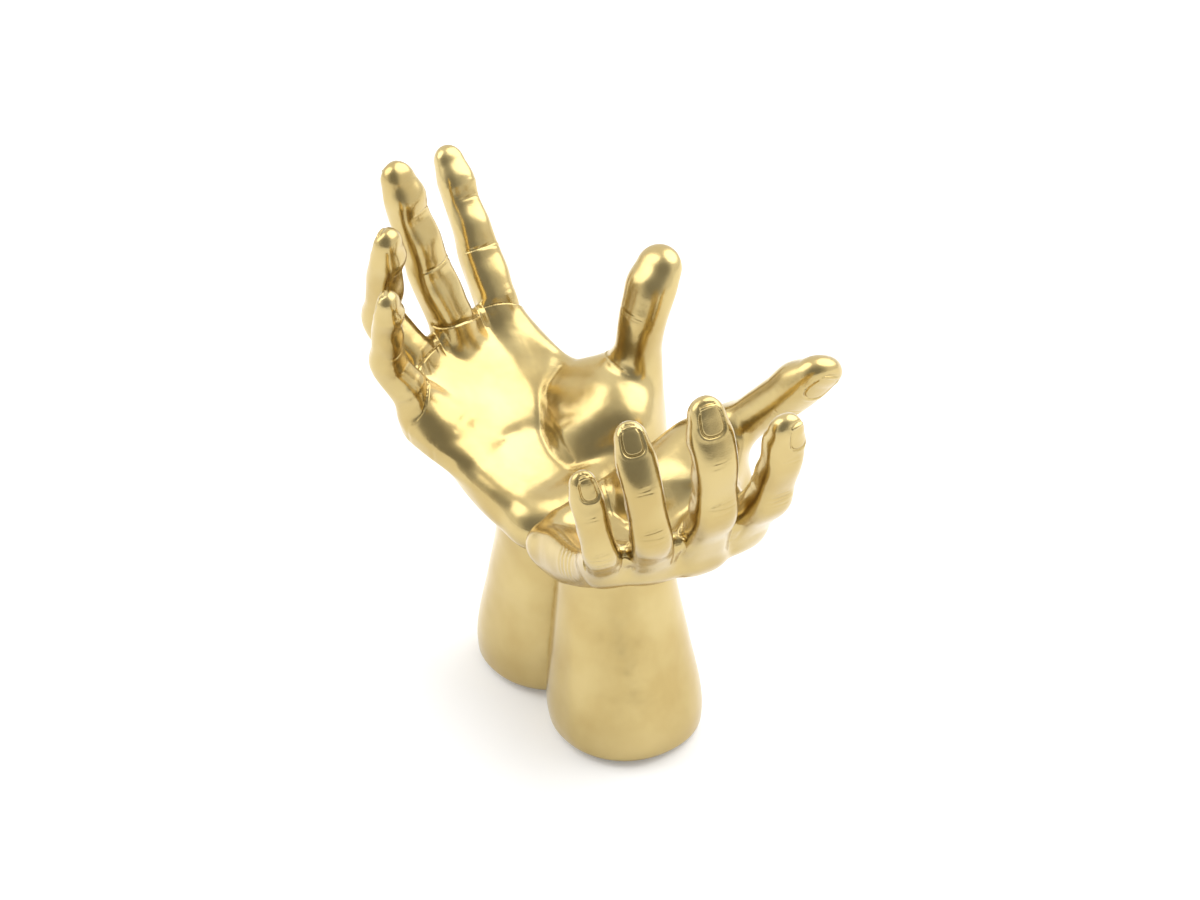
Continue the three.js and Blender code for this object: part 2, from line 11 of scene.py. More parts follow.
import bmesh
import bpy
import numpy as np
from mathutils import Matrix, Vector


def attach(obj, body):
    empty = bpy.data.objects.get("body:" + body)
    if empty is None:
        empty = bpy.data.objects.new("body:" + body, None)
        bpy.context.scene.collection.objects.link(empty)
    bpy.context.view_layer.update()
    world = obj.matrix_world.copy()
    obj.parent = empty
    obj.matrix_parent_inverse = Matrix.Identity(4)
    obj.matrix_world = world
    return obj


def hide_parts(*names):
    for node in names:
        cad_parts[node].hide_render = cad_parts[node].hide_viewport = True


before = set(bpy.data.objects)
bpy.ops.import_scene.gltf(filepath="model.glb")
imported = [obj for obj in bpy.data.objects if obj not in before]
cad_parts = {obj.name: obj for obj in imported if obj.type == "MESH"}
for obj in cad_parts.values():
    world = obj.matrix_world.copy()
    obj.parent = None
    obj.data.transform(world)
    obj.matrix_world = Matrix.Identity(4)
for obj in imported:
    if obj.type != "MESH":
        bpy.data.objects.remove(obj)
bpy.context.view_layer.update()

# %% [markdown]
# ## The pose of each hand
#
# A hand is easiest to describe the way a sculptor would pose it: where the wrist is, which way the
# palm faces, where the four knuckles lie, how long each bone is, and how far each joint bends. Both
# hands are written down as right hands in millimetres and degrees, and only the turn of a whole hand
# is an axis times an angle in radians. The left hand is mirrored at the end. In the palm's own frame
# the first number runs towards the thumb, the second towards the fingers and the third out of the
# palm. The pose began as that of the solids, and the thumbs and the soft forms of the palm were then
# set one by one. Flesh in front of a bone is thicker than behind it, so fronts and backs are separate
# numbers. A soft form is a centre and its radii, and some have an angle, a tilt or a fillet as well.

# %% Pose, bones and thickness of the right hand
FINGERS = ("index", "middle", "ring", "little")

RIGHT_HAND = {
    "side": -1,
    "wrist": (-6, 4, 89.3),
    "turn": (0.088, 0.268, 0.018),
    "knuckles": {
        "index": (23.2, 88.2, 2.2),
        "middle": (2.1, 90, 1.9),
        "ring": (-16.6, 83.1, 3.5),
        "little": (-32.1, 72.7, 7.1),
    },
    "bones": {"index": (44, 25, 18), "middle": (49, 29, 19), "ring": (45, 28, 20), "little": (36, 20, 16)},
    "bends": {
        "index": (8.4, 38, 0, 0),
        "middle": (-13.3, 57.6, 3.2, 2.5),
        "ring": (-28.1, 43.2, 46.5, 0),
        "little": (-35.1, 52.8, 34.7, 0),
    },
    "half_widths": {
        "index": (9.9, 9.3, 8),
        "middle": (10.3, 9.5, 9),
        "ring": (9.7, 8.9, 8.3),
        "little": (8.9, 7.9, 7.1),
    },
    "backs": {"index": 1, "middle": 1, "ring": 1, "little": 1},
    "finger_backs": {"index": 1, "middle": 1, "ring": 1, "little": 1},
    "thumb_root": (20, 22, 1),
    "thumb_bones": (40, 34, 20),
    "thumb_bends": {"spread": 63.8, "lift": 31.6, "roll": 37.5, "middle": 50.7, "end": -35},
    "outer_pad": ((-22, 28, -3), (14, 34, 11)),
    "heel_pad": ((-3, 9, -2), (29, 14, 9)),
    "heel_front": 8,
    "ray_fronts": {"index": 9, "middle": 7, "ring": 6, "little": 5},
    "hollow": ((-5, 42, 42), (42, 63, 38.2)),
    "thumb_ball": ((4, -3, -4), (12, 26, 13)),
    "thenar": ((33, 33, 5), (25, 26, 22), 30, -26, 2.9),
    "pads": [
        ((-24, 72, 5.5), (17, 19, 4.8), 0, 13),
        ((11, 75, 4.5), (18, 21, 5.2), 20, 13),
        ((-10, 48, -2.5), (16, 16, 4.5), 0, 14),
    ],
    "thumb_facing": ((-1, 0, 0.35), (-1, 0, 0.35)),
    "thumb_fronts": (15, 16, 12, 9.8, 9.4, 11, 8.8),
    "thumb_backs": (11, 10, 11, 8.6, 9, 7.6, 6.6),
    "thumb_fold": 0.7,
    "web_dip": 0.26,
    "folds": {
        "index": (20, 46.5, 68.5, 2.5),
        "middle": (23.5, 53.5, 79.5, 3),
        "ring": (20, 52, 78, 1),
        "little": (13, 43, 59, -3),
        "thumb": (5.5, 31.5, 31.5, 0),
    },
    "nail_turns": {"index": 0, "middle": 0, "ring": 0, "little": 0, "thumb": 0},
    "palm_lines": [
        (0.12, 0.7, [(27, 60), (19.7, 57.2), (15.1, 53.3), (11, 46.7), (7.2, 37.1), (5.1, 27.8), (5, 19)]),
        (0.12, 1.2, [(-9, 79), (-7.2, 76.5), (-8, 72), (-10.9, 69.7), (-18.8, 63.1), (-30, 57)]),
    ],
    "edge_pleats": (56, 69.5),
    "heel_rim": [((-25, 6, 0), 7), ((-8, 4, 2), 7), ((8, 5, 5), 8), ((24, 8, 9), 9)],
    "arm_foot": (-29, 1),
    "arm_top": (-25.5, 2.5),
    "arm_top_radius": 26,
    "fold": (76.6, 0.28),
    "arm_ridges": [(0.5, 14, [(0, -50), (40, -58), (80, -62)])],
}
print("right fingers in mm:", {name: sum(RIGHT_HAND["bones"][name]) for name in FINGERS})

# %% Pose, bones and thickness of the left hand
LEFT_HAND = {
    "side": 1,
    "wrist": (-6, 0, 84.3),
    "turn": (0.007, 0.421, 0.118),
    "knuckles": {
        "index": (22.5, 86.6, 6.9),
        "middle": (2.1, 90.5, 4.7),
        "ring": (-16.5, 84.2, 5.4),
        "little": (-31.8, 73.7, 8.5),
    },
    "bones": {"index": (44, 25, 18), "middle": (47, 29, 19), "ring": (43, 28, 19), "little": (35, 20, 16)},
    "bends": {
        "index": (0, 30.8, 12, 10.8),
        "middle": (-8.7, 37.5, 16, 28.4),
        "ring": (-19.5, 32.8, 28.3, 33.5),
        "little": (-24.5, 28.1, 30.6, 14.1),
    },
    "half_widths": {
        "index": (10.2, 9.1, 8.4),
        "middle": (10, 9.3, 9.1),
        "ring": (8.9, 8.5, 8.1),
        "little": (7.9, 7.3, 6.8),
    },
    "backs": {"index": 0.45, "middle": 0.32, "ring": 0.32, "little": 0.55},
    "finger_backs": {"index": 0.7, "middle": 0.75, "ring": 0.7, "little": 0.85},
    "thumb_root": (22, 24, 4),
    "thumb_bones": (45.5, 34, 23),
    "thumb_bends": {"spread": 77, "lift": 40.9, "roll": -77.4, "middle": 45.2, "end": 0.3},
    "outer_pad": ((-28.5, 32, 6), (8, 36, 11.5)),
    "heel_pad": ((0, 2, 4), (28, 10, 9)),
    "heel_front": 12,
    "ray_fronts": {"index": 9.5, "middle": 9.5, "ring": 9.5, "little": 9.5},
    "hollow": ((-5, 54, 44), (36, 52, 42)),
    "thumb_ball": ((-4, 2, 2), (18, 29, 18)),
    "thenar": ((30, 30, 12), (22, 30, 22), 27, 0, 2.8),
    "pads": [((-18, 75, 8.5), (15, 12, 4.5), 0, 8), ((11, 79, 8.5), (15, 12, 4.5), 10, 8)],
    "thumb_facing": ((-1, 0, 0.35), (0.17, -0.5, 0.85)),
    "thumb_fronts": (15, 16, 12, 8.6, 9.2, 10.8, 8.2),
    "thumb_backs": (11, 10, 11, 9.3, 9.2, 8.2, 5.8),
    "thumb_fold": 0,
    "web_dip": 0.16,
    "folds": {
        "index": (20, 53, 75.5, 2.5),
        "middle": (22, 56.6, 77.6, 2),
        "ring": (20, 50, 70, 1),
        "little": (15, 38, 57.5, -2),
        "thumb": (5.5, 36, 36, 0),
    },
    "nail_turns": {"index": -28, "middle": 0, "ring": 0, "little": -18, "thumb": 0},
    "palm_lines": [
        (0.35, 0.8, [(27, 60), (19.4, 52.7), (16, 48.8), (8, 38), (2, 27), (1, 18), (4, 10)]),
        (0.35, 0.9, [(-30, 57), (-18, 63), (-8, 72), (4, 76), (14, 84)]),
    ],
    "edge_pleats": (41, 44.5, 48.5, 52),
    "heel_rim": [((-29, 9, 8), 5), ((-18, 8, 13), 6), ((0, 8, 17), 7), ((16, 9, 20), 8), ((30, 10, 25), 8)],
    "arm_foot": (-29, -2),
    "arm_top": (-19.5, -1),
    "arm_top_radius": 23.5,
    "fold": (73.7, 0.315),
    "arm_ridges": [
        (0.7, 10, [(8, 198), (24, 202), (46, 214), (76, 222)]),
        (0.6, 10, [(24, 258), (53, 260), (80, 270)]),
    ],
}
print("left fingers in mm:", {name: sum(LEFT_HAND["bones"][name]) for name in FINGERS})

# %% [markdown]
# ## Flesh as a distance
#
# Modelling a hand from subdivided boxes gives visible joins where a finger meets the palm. Flesh
# has none, so here each hand is a *distance field*: a function that says how far any point is from
# the skin. Two fields join with a fillet by a smooth minimum, which is what a sculptor does with a
# thumb over wet clay. The helpers below are that fillet, its opposite for hollows, and smooth steps
# and humps.

# %% Fillets, hollows and humps
def unit(v):
    v = np.asarray(v, float)
    return v / np.linalg.norm(v)


def lengths(rows):
    return np.linalg.norm(rows, axis=1)


def dots(a, b):
    return np.einsum("ij,ij->i", a, b)


def blend(a, b, k):
    h = np.clip(0.5 + 0.5 * (b - a) / k, 0, 1)
    return b + (a - b) * h - k * h * (1 - h)


def carve(a, b, k):
    return -blend(-a, b, k)


def smooth_step(x, start, end):
    t = np.clip((x - start) / (end - start), 0, 1)
    return t * t * (3 - 2 * t)


def between(a, b, share):
    return (1 - share) * a + share * b


def hump(u, width):
    """A smooth bump: 1 at u = 0, and close to nothing past twice its width."""
    return np.exp(-((u / width) ** 2))


print("a fillet of two skins 2 mm apart:", round(float(blend(1.0, 3.0, 6.0)), 2), "mm")

# %% [markdown]
# A limb changes its thickness along its length, so it needs a curve through a few values. An
# ordinary spline swings past its values where they change quickly, which would show as a bulge. This
# one never overshoots. The middle line of a limb is a chain of bones with its corners rounded.

# %% Curves that don't overshoot, and bent lines
def make_curve(stations, values):
    """A smooth curve through (station, value) points that never overshoots them."""
    xs, ys = np.array(stations, float), np.array(values, float)
    slopes = np.diff(ys) / np.diff(xs)
    tangents = np.concatenate([slopes[:1], np.zeros(len(xs) - 2), slopes[-1:]])
    for i in range(1, len(xs) - 1):
        product = slopes[i - 1] * slopes[i]
        tangents[i] = 0 if product <= 0 else 2 * product / (slopes[i - 1] + slopes[i])

    def curve(x):
        x = np.clip(x, xs[0], xs[-1])
        i = np.clip(np.searchsorted(xs, x, side="right") - 1, 0, len(xs) - 2)
        h = xs[i + 1] - xs[i]
        t = (x - xs[i]) / h
        start = (2 * t**3 - 3 * t**2 + 1) * ys[i] + (t**3 - 2 * t**2 + t) * h * tangents[i]
        end = (-2 * t**3 + 3 * t**2) * ys[i + 1] + (t**3 - t**2) * h * tangents[i + 1]
        return start + end

    return curve


BEND_SHARE = 0.45
BEND_POINTS = 4


def bent_line(joints, roundness, step):
    """Points along a chain of joints, with each joint rounded like bent flesh."""
    joints = [np.asarray(j, float) for j in joints]
    path = [joints[0]]
    for before, joint, after in zip(joints, joints[1:], joints[2:]):
        back, ahead = before - joint, after - joint
        r = min(roundness, BEND_SHARE * np.linalg.norm(back), BEND_SHARE * np.linalg.norm(ahead))
        start, end = joint + unit(back) * r, joint + unit(ahead) * r
        for t in np.linspace(0, 1, BEND_POINTS):
            path.append((1 - t) ** 2 * start + 2 * t * (1 - t) * joint + t * t * end)
    path.append(joints[-1])
    path = np.array(path)
    arcs = np.concatenate([[0], np.cumsum(lengths(np.diff(path, axis=0)))])
    count = max(2, math.ceil(arcs[-1] / step))
    at = np.linspace(0, arcs[-1], count + 1)
    return np.stack([np.interp(at, arcs, path[:, k]) for k in range(3)], 1), arcs[-1]


def tangents_of(points):
    tangents = np.gradient(points, axis=0)
    return tangents / lengths(tangents)[:, None]


corner = bent_line([(0, 0, 0), (10, 0, 0), (10, 10, 0)], roundness=4, step=1)
print("a rounded corner of two 10 mm bones is", round(corner[1], 1), "mm long")

# %% [markdown]
# ## Limbs, pads and webs
#
# A finger is a tube along a bent line whose section is a squarish oval, wide at the joints and
# deeper on the palm side. The same kind of tube makes the rays of the palm, the thumb and the heel.
# Far away from a limb its distance isn't worked out, which keeps the script quick.

# %% A limb as a field
FAR = 19.0
REACH = 14.0


class Limb:
    """A rounded tube along points, with its half width, front and back thickness by station."""

    def __init__(self, points, sides, fronts, stations, widths, front, back, power, caps):
        self.points = np.asarray(points, float)
        count = len(self.points)
        self.sides = np.array(np.broadcast_to(np.asarray(sides, float), (count, 3)))
        self.fronts = np.array(np.broadcast_to(np.asarray(fronts, float), (count, 3)))
        steps = lengths(np.diff(self.points, axis=0))
        self.arcs = np.concatenate([[0], np.cumsum(steps)])
        self.width = make_curve(stations, widths)
        self.front = make_curve(stations, front)
        self.back = make_curve(stations, back)
        self.power, self.caps = power, caps
        self.thickest = max(*widths, *front, *back)
        self.low = self.points.min(0) - self.thickest
        self.high = self.points.max(0) + self.thickest

    def near(self, p, reach):
        return np.all((p > self.low - reach) & (p < self.high + reach), axis=1)

    def place(self, p):
        """Where points lie on the limb: distance along it, to the side, to the front, past an end."""
        best = np.full(len(p), np.inf)
        at = np.zeros(len(p), int)
        along = np.zeros(len(p))
        past = np.zeros(len(p))
        last = len(self.points) - 2
        for i in range(last + 1):
            bone = self.points[i + 1] - self.points[i]
            length = np.linalg.norm(bone)
            q = p - self.points[i]
            a = q @ bone / length**2
            t = np.clip(a, 0, 1)
            offset = q - t[:, None] * bone
            squared = dots(offset, offset)
            closer = squared < best
            best[closer] = squared[closer]
            at[closer] = i
            along[closer] = t[closer]
            beyond = np.zeros(len(p))
            if i == 0:
                beyond = np.minimum(a, 0) * length
            if i == last:
                beyond = np.maximum(a - 1, 0) * length
            past[closer] = beyond[closer]
        t = along[:, None]
        offset = p - self.points[at] * (1 - t) - self.points[at + 1] * t
        side = self.sides[at] * (1 - t) + self.sides[at + 1] * t
        front = self.fronts[at] * (1 - t) + self.fronts[at + 1] * t
        arc = self.arcs[at] + (self.arcs[at + 1] - self.arcs[at]) * along
        x = dots(offset, side)
        y = dots(offset, front)
        return arc, x, y, past

    def distance(self, p):
        out = np.full(len(p), FAR)
        near = self.near(p, REACH)
        if near.any():
            out[near] = np.minimum(self.near_distance(p[near]), FAR)
        return out

    def near_distance(self, p):
        arc, x, y, past = self.place(p)
        w = self.width(arc)
        h = np.where(y > 0, self.front(arc), self.back(arc))
        cap = np.where(past < 0, self.caps[0], self.caps[1])
        m = self.power
        ux, uy, uz = np.abs(x) / w, np.abs(y) / h, np.abs(past) / cap
        section = np.maximum((ux**m + uy**m) ** (1 / m), 1e-6)
        rho = np.sqrt(section**2 + uz**2)
        gx = (ux / section) ** (m - 1) / w
        gy = (uy / section) ** (m - 1) / h
        gradient = np.sqrt((section / rho) ** 2 * (gx**2 + gy**2) + (uz / rho / cap) ** 2)
        return (rho - 1) / np.maximum(gradient, 0.5 / self.thickest)


print("a limb is followed", REACH, "mm away from its skin")

# %% [markdown]
# The soft forms on a hand are ovals and flattened ovals. The rim of the heel is a rope whose
# thickness changes, and the skin between two fingers is a thin rounded triangle.

# %% Pads, ropes and webs as fields
def ellipsoid(p, centre, axes, radii):
    local = (p - centre) @ np.asarray(axes).T
    inner = np.sqrt(((local / radii) ** 2).sum(1))
    outer = np.sqrt(((local / np.square(radii)) ** 2).sum(1))
    return inner * (inner - 1) / np.maximum(outer, 1e-6)


def pillow(p, centre, axes, radii, power):
    """An ellipsoid with a flatter top, like a ball of clay pressed by a thumb."""
    q = np.abs((p - centre) @ np.asarray(axes).T) / radii
    rho = np.maximum((q**power).sum(1) ** (1 / power), 1e-3)
    slope = np.sqrt((((q / rho[:, None]) ** (power - 1) / radii) ** 2).sum(1))
    return np.minimum((rho - 1) / slope, FAR)


def from_line(p, a, b):
    """How far points are from the straight line a to b, and how far along it they lie."""
    t = np.clip((p - a) @ (b - a) / ((b - a) @ (b - a)), 0, 1)
    return lengths(p - a - t[:, None] * (b - a)), t


ROPE_FILLET = 2


def rope(p, knots):
    """A rounded cord through (point, radius) knots."""
    d = np.full(len(p), FAR)
    for (a, r), (b, s) in zip(knots, knots[1:]):
        away, t = from_line(p, a, b)
        d = blend(d, away - between(r, s, t), ROPE_FILLET)
    return d


def web(p, corners, thickness):
    """A thin web of skin: a triangle with a rounded thickness."""
    a, b, c = corners
    normal = np.cross(b - a, c - a)
    inside = np.zeros(len(p))
    nearest = np.full(len(p), np.inf)
    for start, end in ((a, b), (b, c), (c, a)):
        edge = end - start
        q = p - start
        inside += np.sign(q @ np.cross(normal, edge))
        rest = q - np.clip(q @ edge / (edge @ edge), 0, 1)[:, None] * edge
        nearest = np.minimum(nearest, dots(rest, rest))
    flat = np.abs((p - a) @ normal) / np.linalg.norm(normal)
    return np.where(inside >= 2, flat, np.sqrt(nearest)) - thickness


ball_top = pillow(np.array([[0, 0, 8.0]]), np.zeros(3), np.eye(3), (5, 5, 5), 2)
print("8 mm over the middle of a 5 mm ball is", round(float(ball_top[0]), 1), "mm over its skin")

# %% [markdown]
# ## From bones to limbs
#
# The bones of the pose become limbs: four fingers, a thumb, and inside the palm a heel and one ray
# towards each knuckle. A hand is turned as a whole by one turn about one axis, which is three
# numbers and no more, and the bones of a finger follow each other in a chain.

# %% Turning a hand and chaining its bones
def turn_matrix(vector):
    """Columns: towards the thumb, towards the fingers, out of the palm."""
    angle = np.linalg.norm(vector)
    k = np.asarray(vector, float) / angle
    cross = np.array([[0, -k[2], k[1]], [k[2], 0, -k[0]], [-k[1], k[0], 0]])
    turn = np.eye(3) + math.sin(angle) * cross + (1 - math.cos(angle)) * cross @ cross
    return turn @ np.array([[0, -1, 0], [1, 0, 0], [0, 0, 1.0]])


def turned_about(axes, angle, tilt=0):
    """Axes turned about the palm's normal, then tilted sideways about their own length."""
    c, s = math.cos(math.radians(angle)), math.sin(math.radians(angle))
    turned = np.array([[c, -s, 0], [s, c, 0], [0, 0, 1]]) @ axes
    c, s = math.cos(math.radians(tilt)), math.sin(math.radians(tilt))
    return np.array([[c, 0, -s], [0, 1, 0], [s, 0, c]]) @ turned


def chain(start, bones, bends, ahead, out):
    """Joints of a chain of bones that starts along ahead and bends towards out."""
    joints, bend = [start], 0
    for bone, more in zip(bones, bends):
        bend += more
        joints.append(joints[-1] + bone * (math.cos(bend) * ahead + math.sin(bend) * out))
    return joints


off_level = math.degrees(math.acos(turn_matrix(RIGHT_HAND["turn"])[2, 2]))
print("the right palm leans", round(off_level), "degrees from level")

# %% [markdown]
# A finger is widest at its joints and fullest between them on the palm side, so its thickness is a
# row of shares of the bones' half widths, from its root inside the palm to its tip. A power above 2
# makes the section squarer than an oval.

# %% Fingers
FINGER_START = 12
FINGER_WIDTHS = np.array([1, 1, 0.95, 1, 0.95, 1, 1.03, 0.84])
FINGER_FRONTS = np.array([0.8, 0.92, 1.02, 0.84, 0.96, 0.82, 1.02, 0.74])
FINGER_BACKS = np.array([0.8, 1, 0.84, 1, 0.8, 0.86, 0.72, 0.6])
FINGER_ROUNDNESS, FINGER_STEP, FINGER_POWER = 7, 3, 2.7


def make_finger(hand, turn, name):
    spread, *bends = [math.radians(v) for v in hand["bends"][name]]
    ahead = np.array([math.sin(spread), math.cos(spread), 0])
    side = np.array([math.cos(spread), -math.sin(spread), 0])
    out = np.array([0, 0, 1.0])
    joints = chain(np.array(hand["knuckles"][name], float), hand["bones"][name], bends, ahead, out)
    start = joints[0] - ahead * FINGER_START - out
    points, total = bent_line([start, *joints], FINGER_ROUNDNESS, FINGER_STEP)
    first, middle, end = hand["bones"][name]
    k = FINGER_START
    stations = [0, k, k + 0.55 * first, k + first, k + first + 0.5 * middle, k + first + middle]
    stations += [k + first + middle + 0.5 * end, total]
    w0, w1, w2 = hand["half_widths"][name]
    base = np.array([w0, w0, (w0 + w1) / 2, w1, (w1 + w2) / 2, w2, w2, w2])
    thin = hand["finger_backs"][name]
    thinned = np.array([thin, thin, (1 + thin) / 2, 1, 1, 1, 1, 1])
    limb = Limb(
        hand["wrist"] + points @ turn.T,
        turn @ side,
        np.cross(side, tangents_of(points)) @ turn.T,
        stations,
        base * FINGER_WIDTHS,
        base * FINGER_FRONTS,
        base * FINGER_BACKS * thinned,
        FINGER_POWER,
        caps=(0.8 * w0, 0.98 * w2),
    )
    return limb, hand["wrist"] + np.array(joints) @ turn.T


print("a finger has", len(FINGER_WIDTHS), "stations of thickness")

# %% [markdown]
# The palm of a hand is thin over its bones and full at its heel. One flat limb would be too even, so
# a short wide limb makes the heel, and a ray to each knuckle makes the rest, slightly bowed.

# %% Rays of the palm, and the heel
RAY_ROOTS = {"index": (13, 8, 0), "middle": (3, 4, 0), "ring": (-8, 4, 0), "little": (-17, 8, 2)}
RAY_WIDTH, RAY_KNUCKLE_FRONT, RAY_BACK = 11, 9, 9
RAY_ROUNDNESS, RAY_STEP, RAY_POWER, RAY_CAPS = 20, 9, 2.2, (10, 8)


def make_palm_ray(hand, turn, name):
    root = np.array(RAY_ROOTS[name], float)
    knuckle = np.array(hand["knuckles"][name], float)
    bowed = (root + knuckle) / 2 + (0, 0, -1)
    points, total = bent_line([root, bowed, knuckle], RAY_ROUNDNESS, RAY_STEP)
    tangents = tangents_of(points)
    fronts = np.cross((1, 0, 0), tangents)
    fronts /= lengths(fronts)[:, None]
    front, thin = hand["ray_fronts"][name], hand["backs"][name]
    return Limb(
        hand["wrist"] + points @ turn.T,
        np.cross(tangents, fronts) @ turn.T,
        fronts @ turn.T,
        [0, total / 2, total],
        [RAY_WIDTH, RAY_WIDTH + 0.5, 1.08 * hand["half_widths"][name][0]],
        [front, front, RAY_KNUCKLE_FRONT],
        [RAY_BACK, 4.25 * (1 + thin), 10 * thin],
        RAY_POWER,
        RAY_CAPS,
    )


HEEL_LINE = np.array([(0, -2, 0), (0, 6, 0), (0, 14, 0), (0, 24, 0)], float)
HEEL_STATIONS, HEEL_WIDTHS = (0, 14, 26), (25, 28, 29)
HEEL_FRONTS, HEEL_BACKS = (0.85, 1, 0.85), (9.5, 10, 9)
HEEL_POWER, HEEL_CAPS = 2.6, (9, 9)


def make_heel(hand, turn):
    return Limb(
        hand["wrist"] + HEEL_LINE @ turn.T,
        turn[:, 0],
        turn[:, 2],
        HEEL_STATIONS,
        HEEL_WIDTHS,
        [share * hand["heel_front"] for share in HEEL_FRONTS],
        HEEL_BACKS,
        HEEL_POWER,
        HEEL_CAPS,
    )


print("the heel is", 2 * HEEL_WIDTHS[1], "mm wide")

# %% [markdown]
# A thumb turns about its own length from its root to its tip, so that its nail looks another way
# than the ball at its root. The direction of its front is blended along the limb.

# %% The thumb
THUMB_WIDTHS = (13, 12.5, 12, 10.2, 10.9, 11.7, 10.8)
THUMB_ROUNDNESS, THUMB_STEP, THUMB_POWER, THUMB_CAPS = 9, 3, 2.35, (13, 10.5)


def make_thumb(hand, turn):
    angles = {name: math.radians(v) for name, v in hand["thumb_bends"].items()}
    flat = math.cos(angles["lift"])
    along = np.array([math.sin(angles["spread"]) * flat, math.cos(angles["spread"]) * flat, 0])
    along[2] = math.sin(angles["lift"])
    inward = unit(np.array([-1.0, 0, 0]) + along * along[0])
    across = np.cross(along, inward)
    curl = inward * math.cos(angles["roll"]) + across * math.sin(angles["roll"])
    bends = (0, angles["middle"], angles["end"])
    joints = chain(np.array(hand["thumb_root"], float), hand["thumb_bones"], bends, along, curl)
    points, total = bent_line(joints, THUMB_ROUNDNESS, THUMB_STEP)
    tangents = tangents_of(points)
    root, first, tip = hand["thumb_bones"]
    along_it = np.linspace(0, total, len(points))
    turning = smooth_step(along_it, 0.6 * root, root + 0.8 * first)[:, None]
    at_root, at_tip = (unit(facing) for facing in hand["thumb_facing"])
    facing = between(at_root, at_tip, turning)
    fronts = facing - tangents * (tangents * facing).sum(1)[:, None]
    fronts /= lengths(fronts)[:, None]
    limb = Limb(
        hand["wrist"] + points @ turn.T,
        np.cross(tangents, fronts) @ turn.T,
        fronts @ turn.T,
        [0, 0.55 * root, root, root + 0.5 * first, root + first, root + first + 0.5 * tip, total],
        THUMB_WIDTHS,
        hand["thumb_fronts"],
        hand["thumb_backs"],
        THUMB_POWER,
        THUMB_CAPS,
    )
    return limb, hand["wrist"] + np.array(joints) @ turn.T


print("a thumb is", 2 * THUMB_WIDTHS[-2], "mm wide at its nail")

# %% [markdown]
# ## From limbs to one skin
#
# The palm is its rays over the heel, hollowed in the middle, with the ball of the thumb and the pads
# under the knuckles laid on. The fingers are joined to each other first, with a small fillet that
# keeps them apart, and then to the palm. A thin web closes the gap between thumb and index finger,
# and a short one joins each pair of fingers.

# %% Fillets between the forms of a hand
FILLETS = {
    "rays": 9,
    "outer_pad": 7,
    "heel_pad": 6,
    "hollow": 6,
    "knuckle_pads": 6,
    "heel_rim": 8,
    "thenar": 5,
    "thumb": 8,
    "thumb_ball": 6,
    "thumb_web": 8,
    "fingers": 2.5,
    "finger_webs": 4.5,
    "hand": 6,
}
KNUCKLE_PAD_SHIFT, KNUCKLE_PAD_RADII = (0, -1, 5.5), (9, 11, 6)
PAD_POWER = 2.4
WEB_ROOT = (14, 24, 2)
THUMB_WEB, FINGER_WEB, FINGER_WEB_LIFT, FINGER_WEB_REACH = 4.2, 4, 1.5, 0.44
print("fillets of", min(FILLETS.values()), "to", max(FILLETS.values()), "mm")

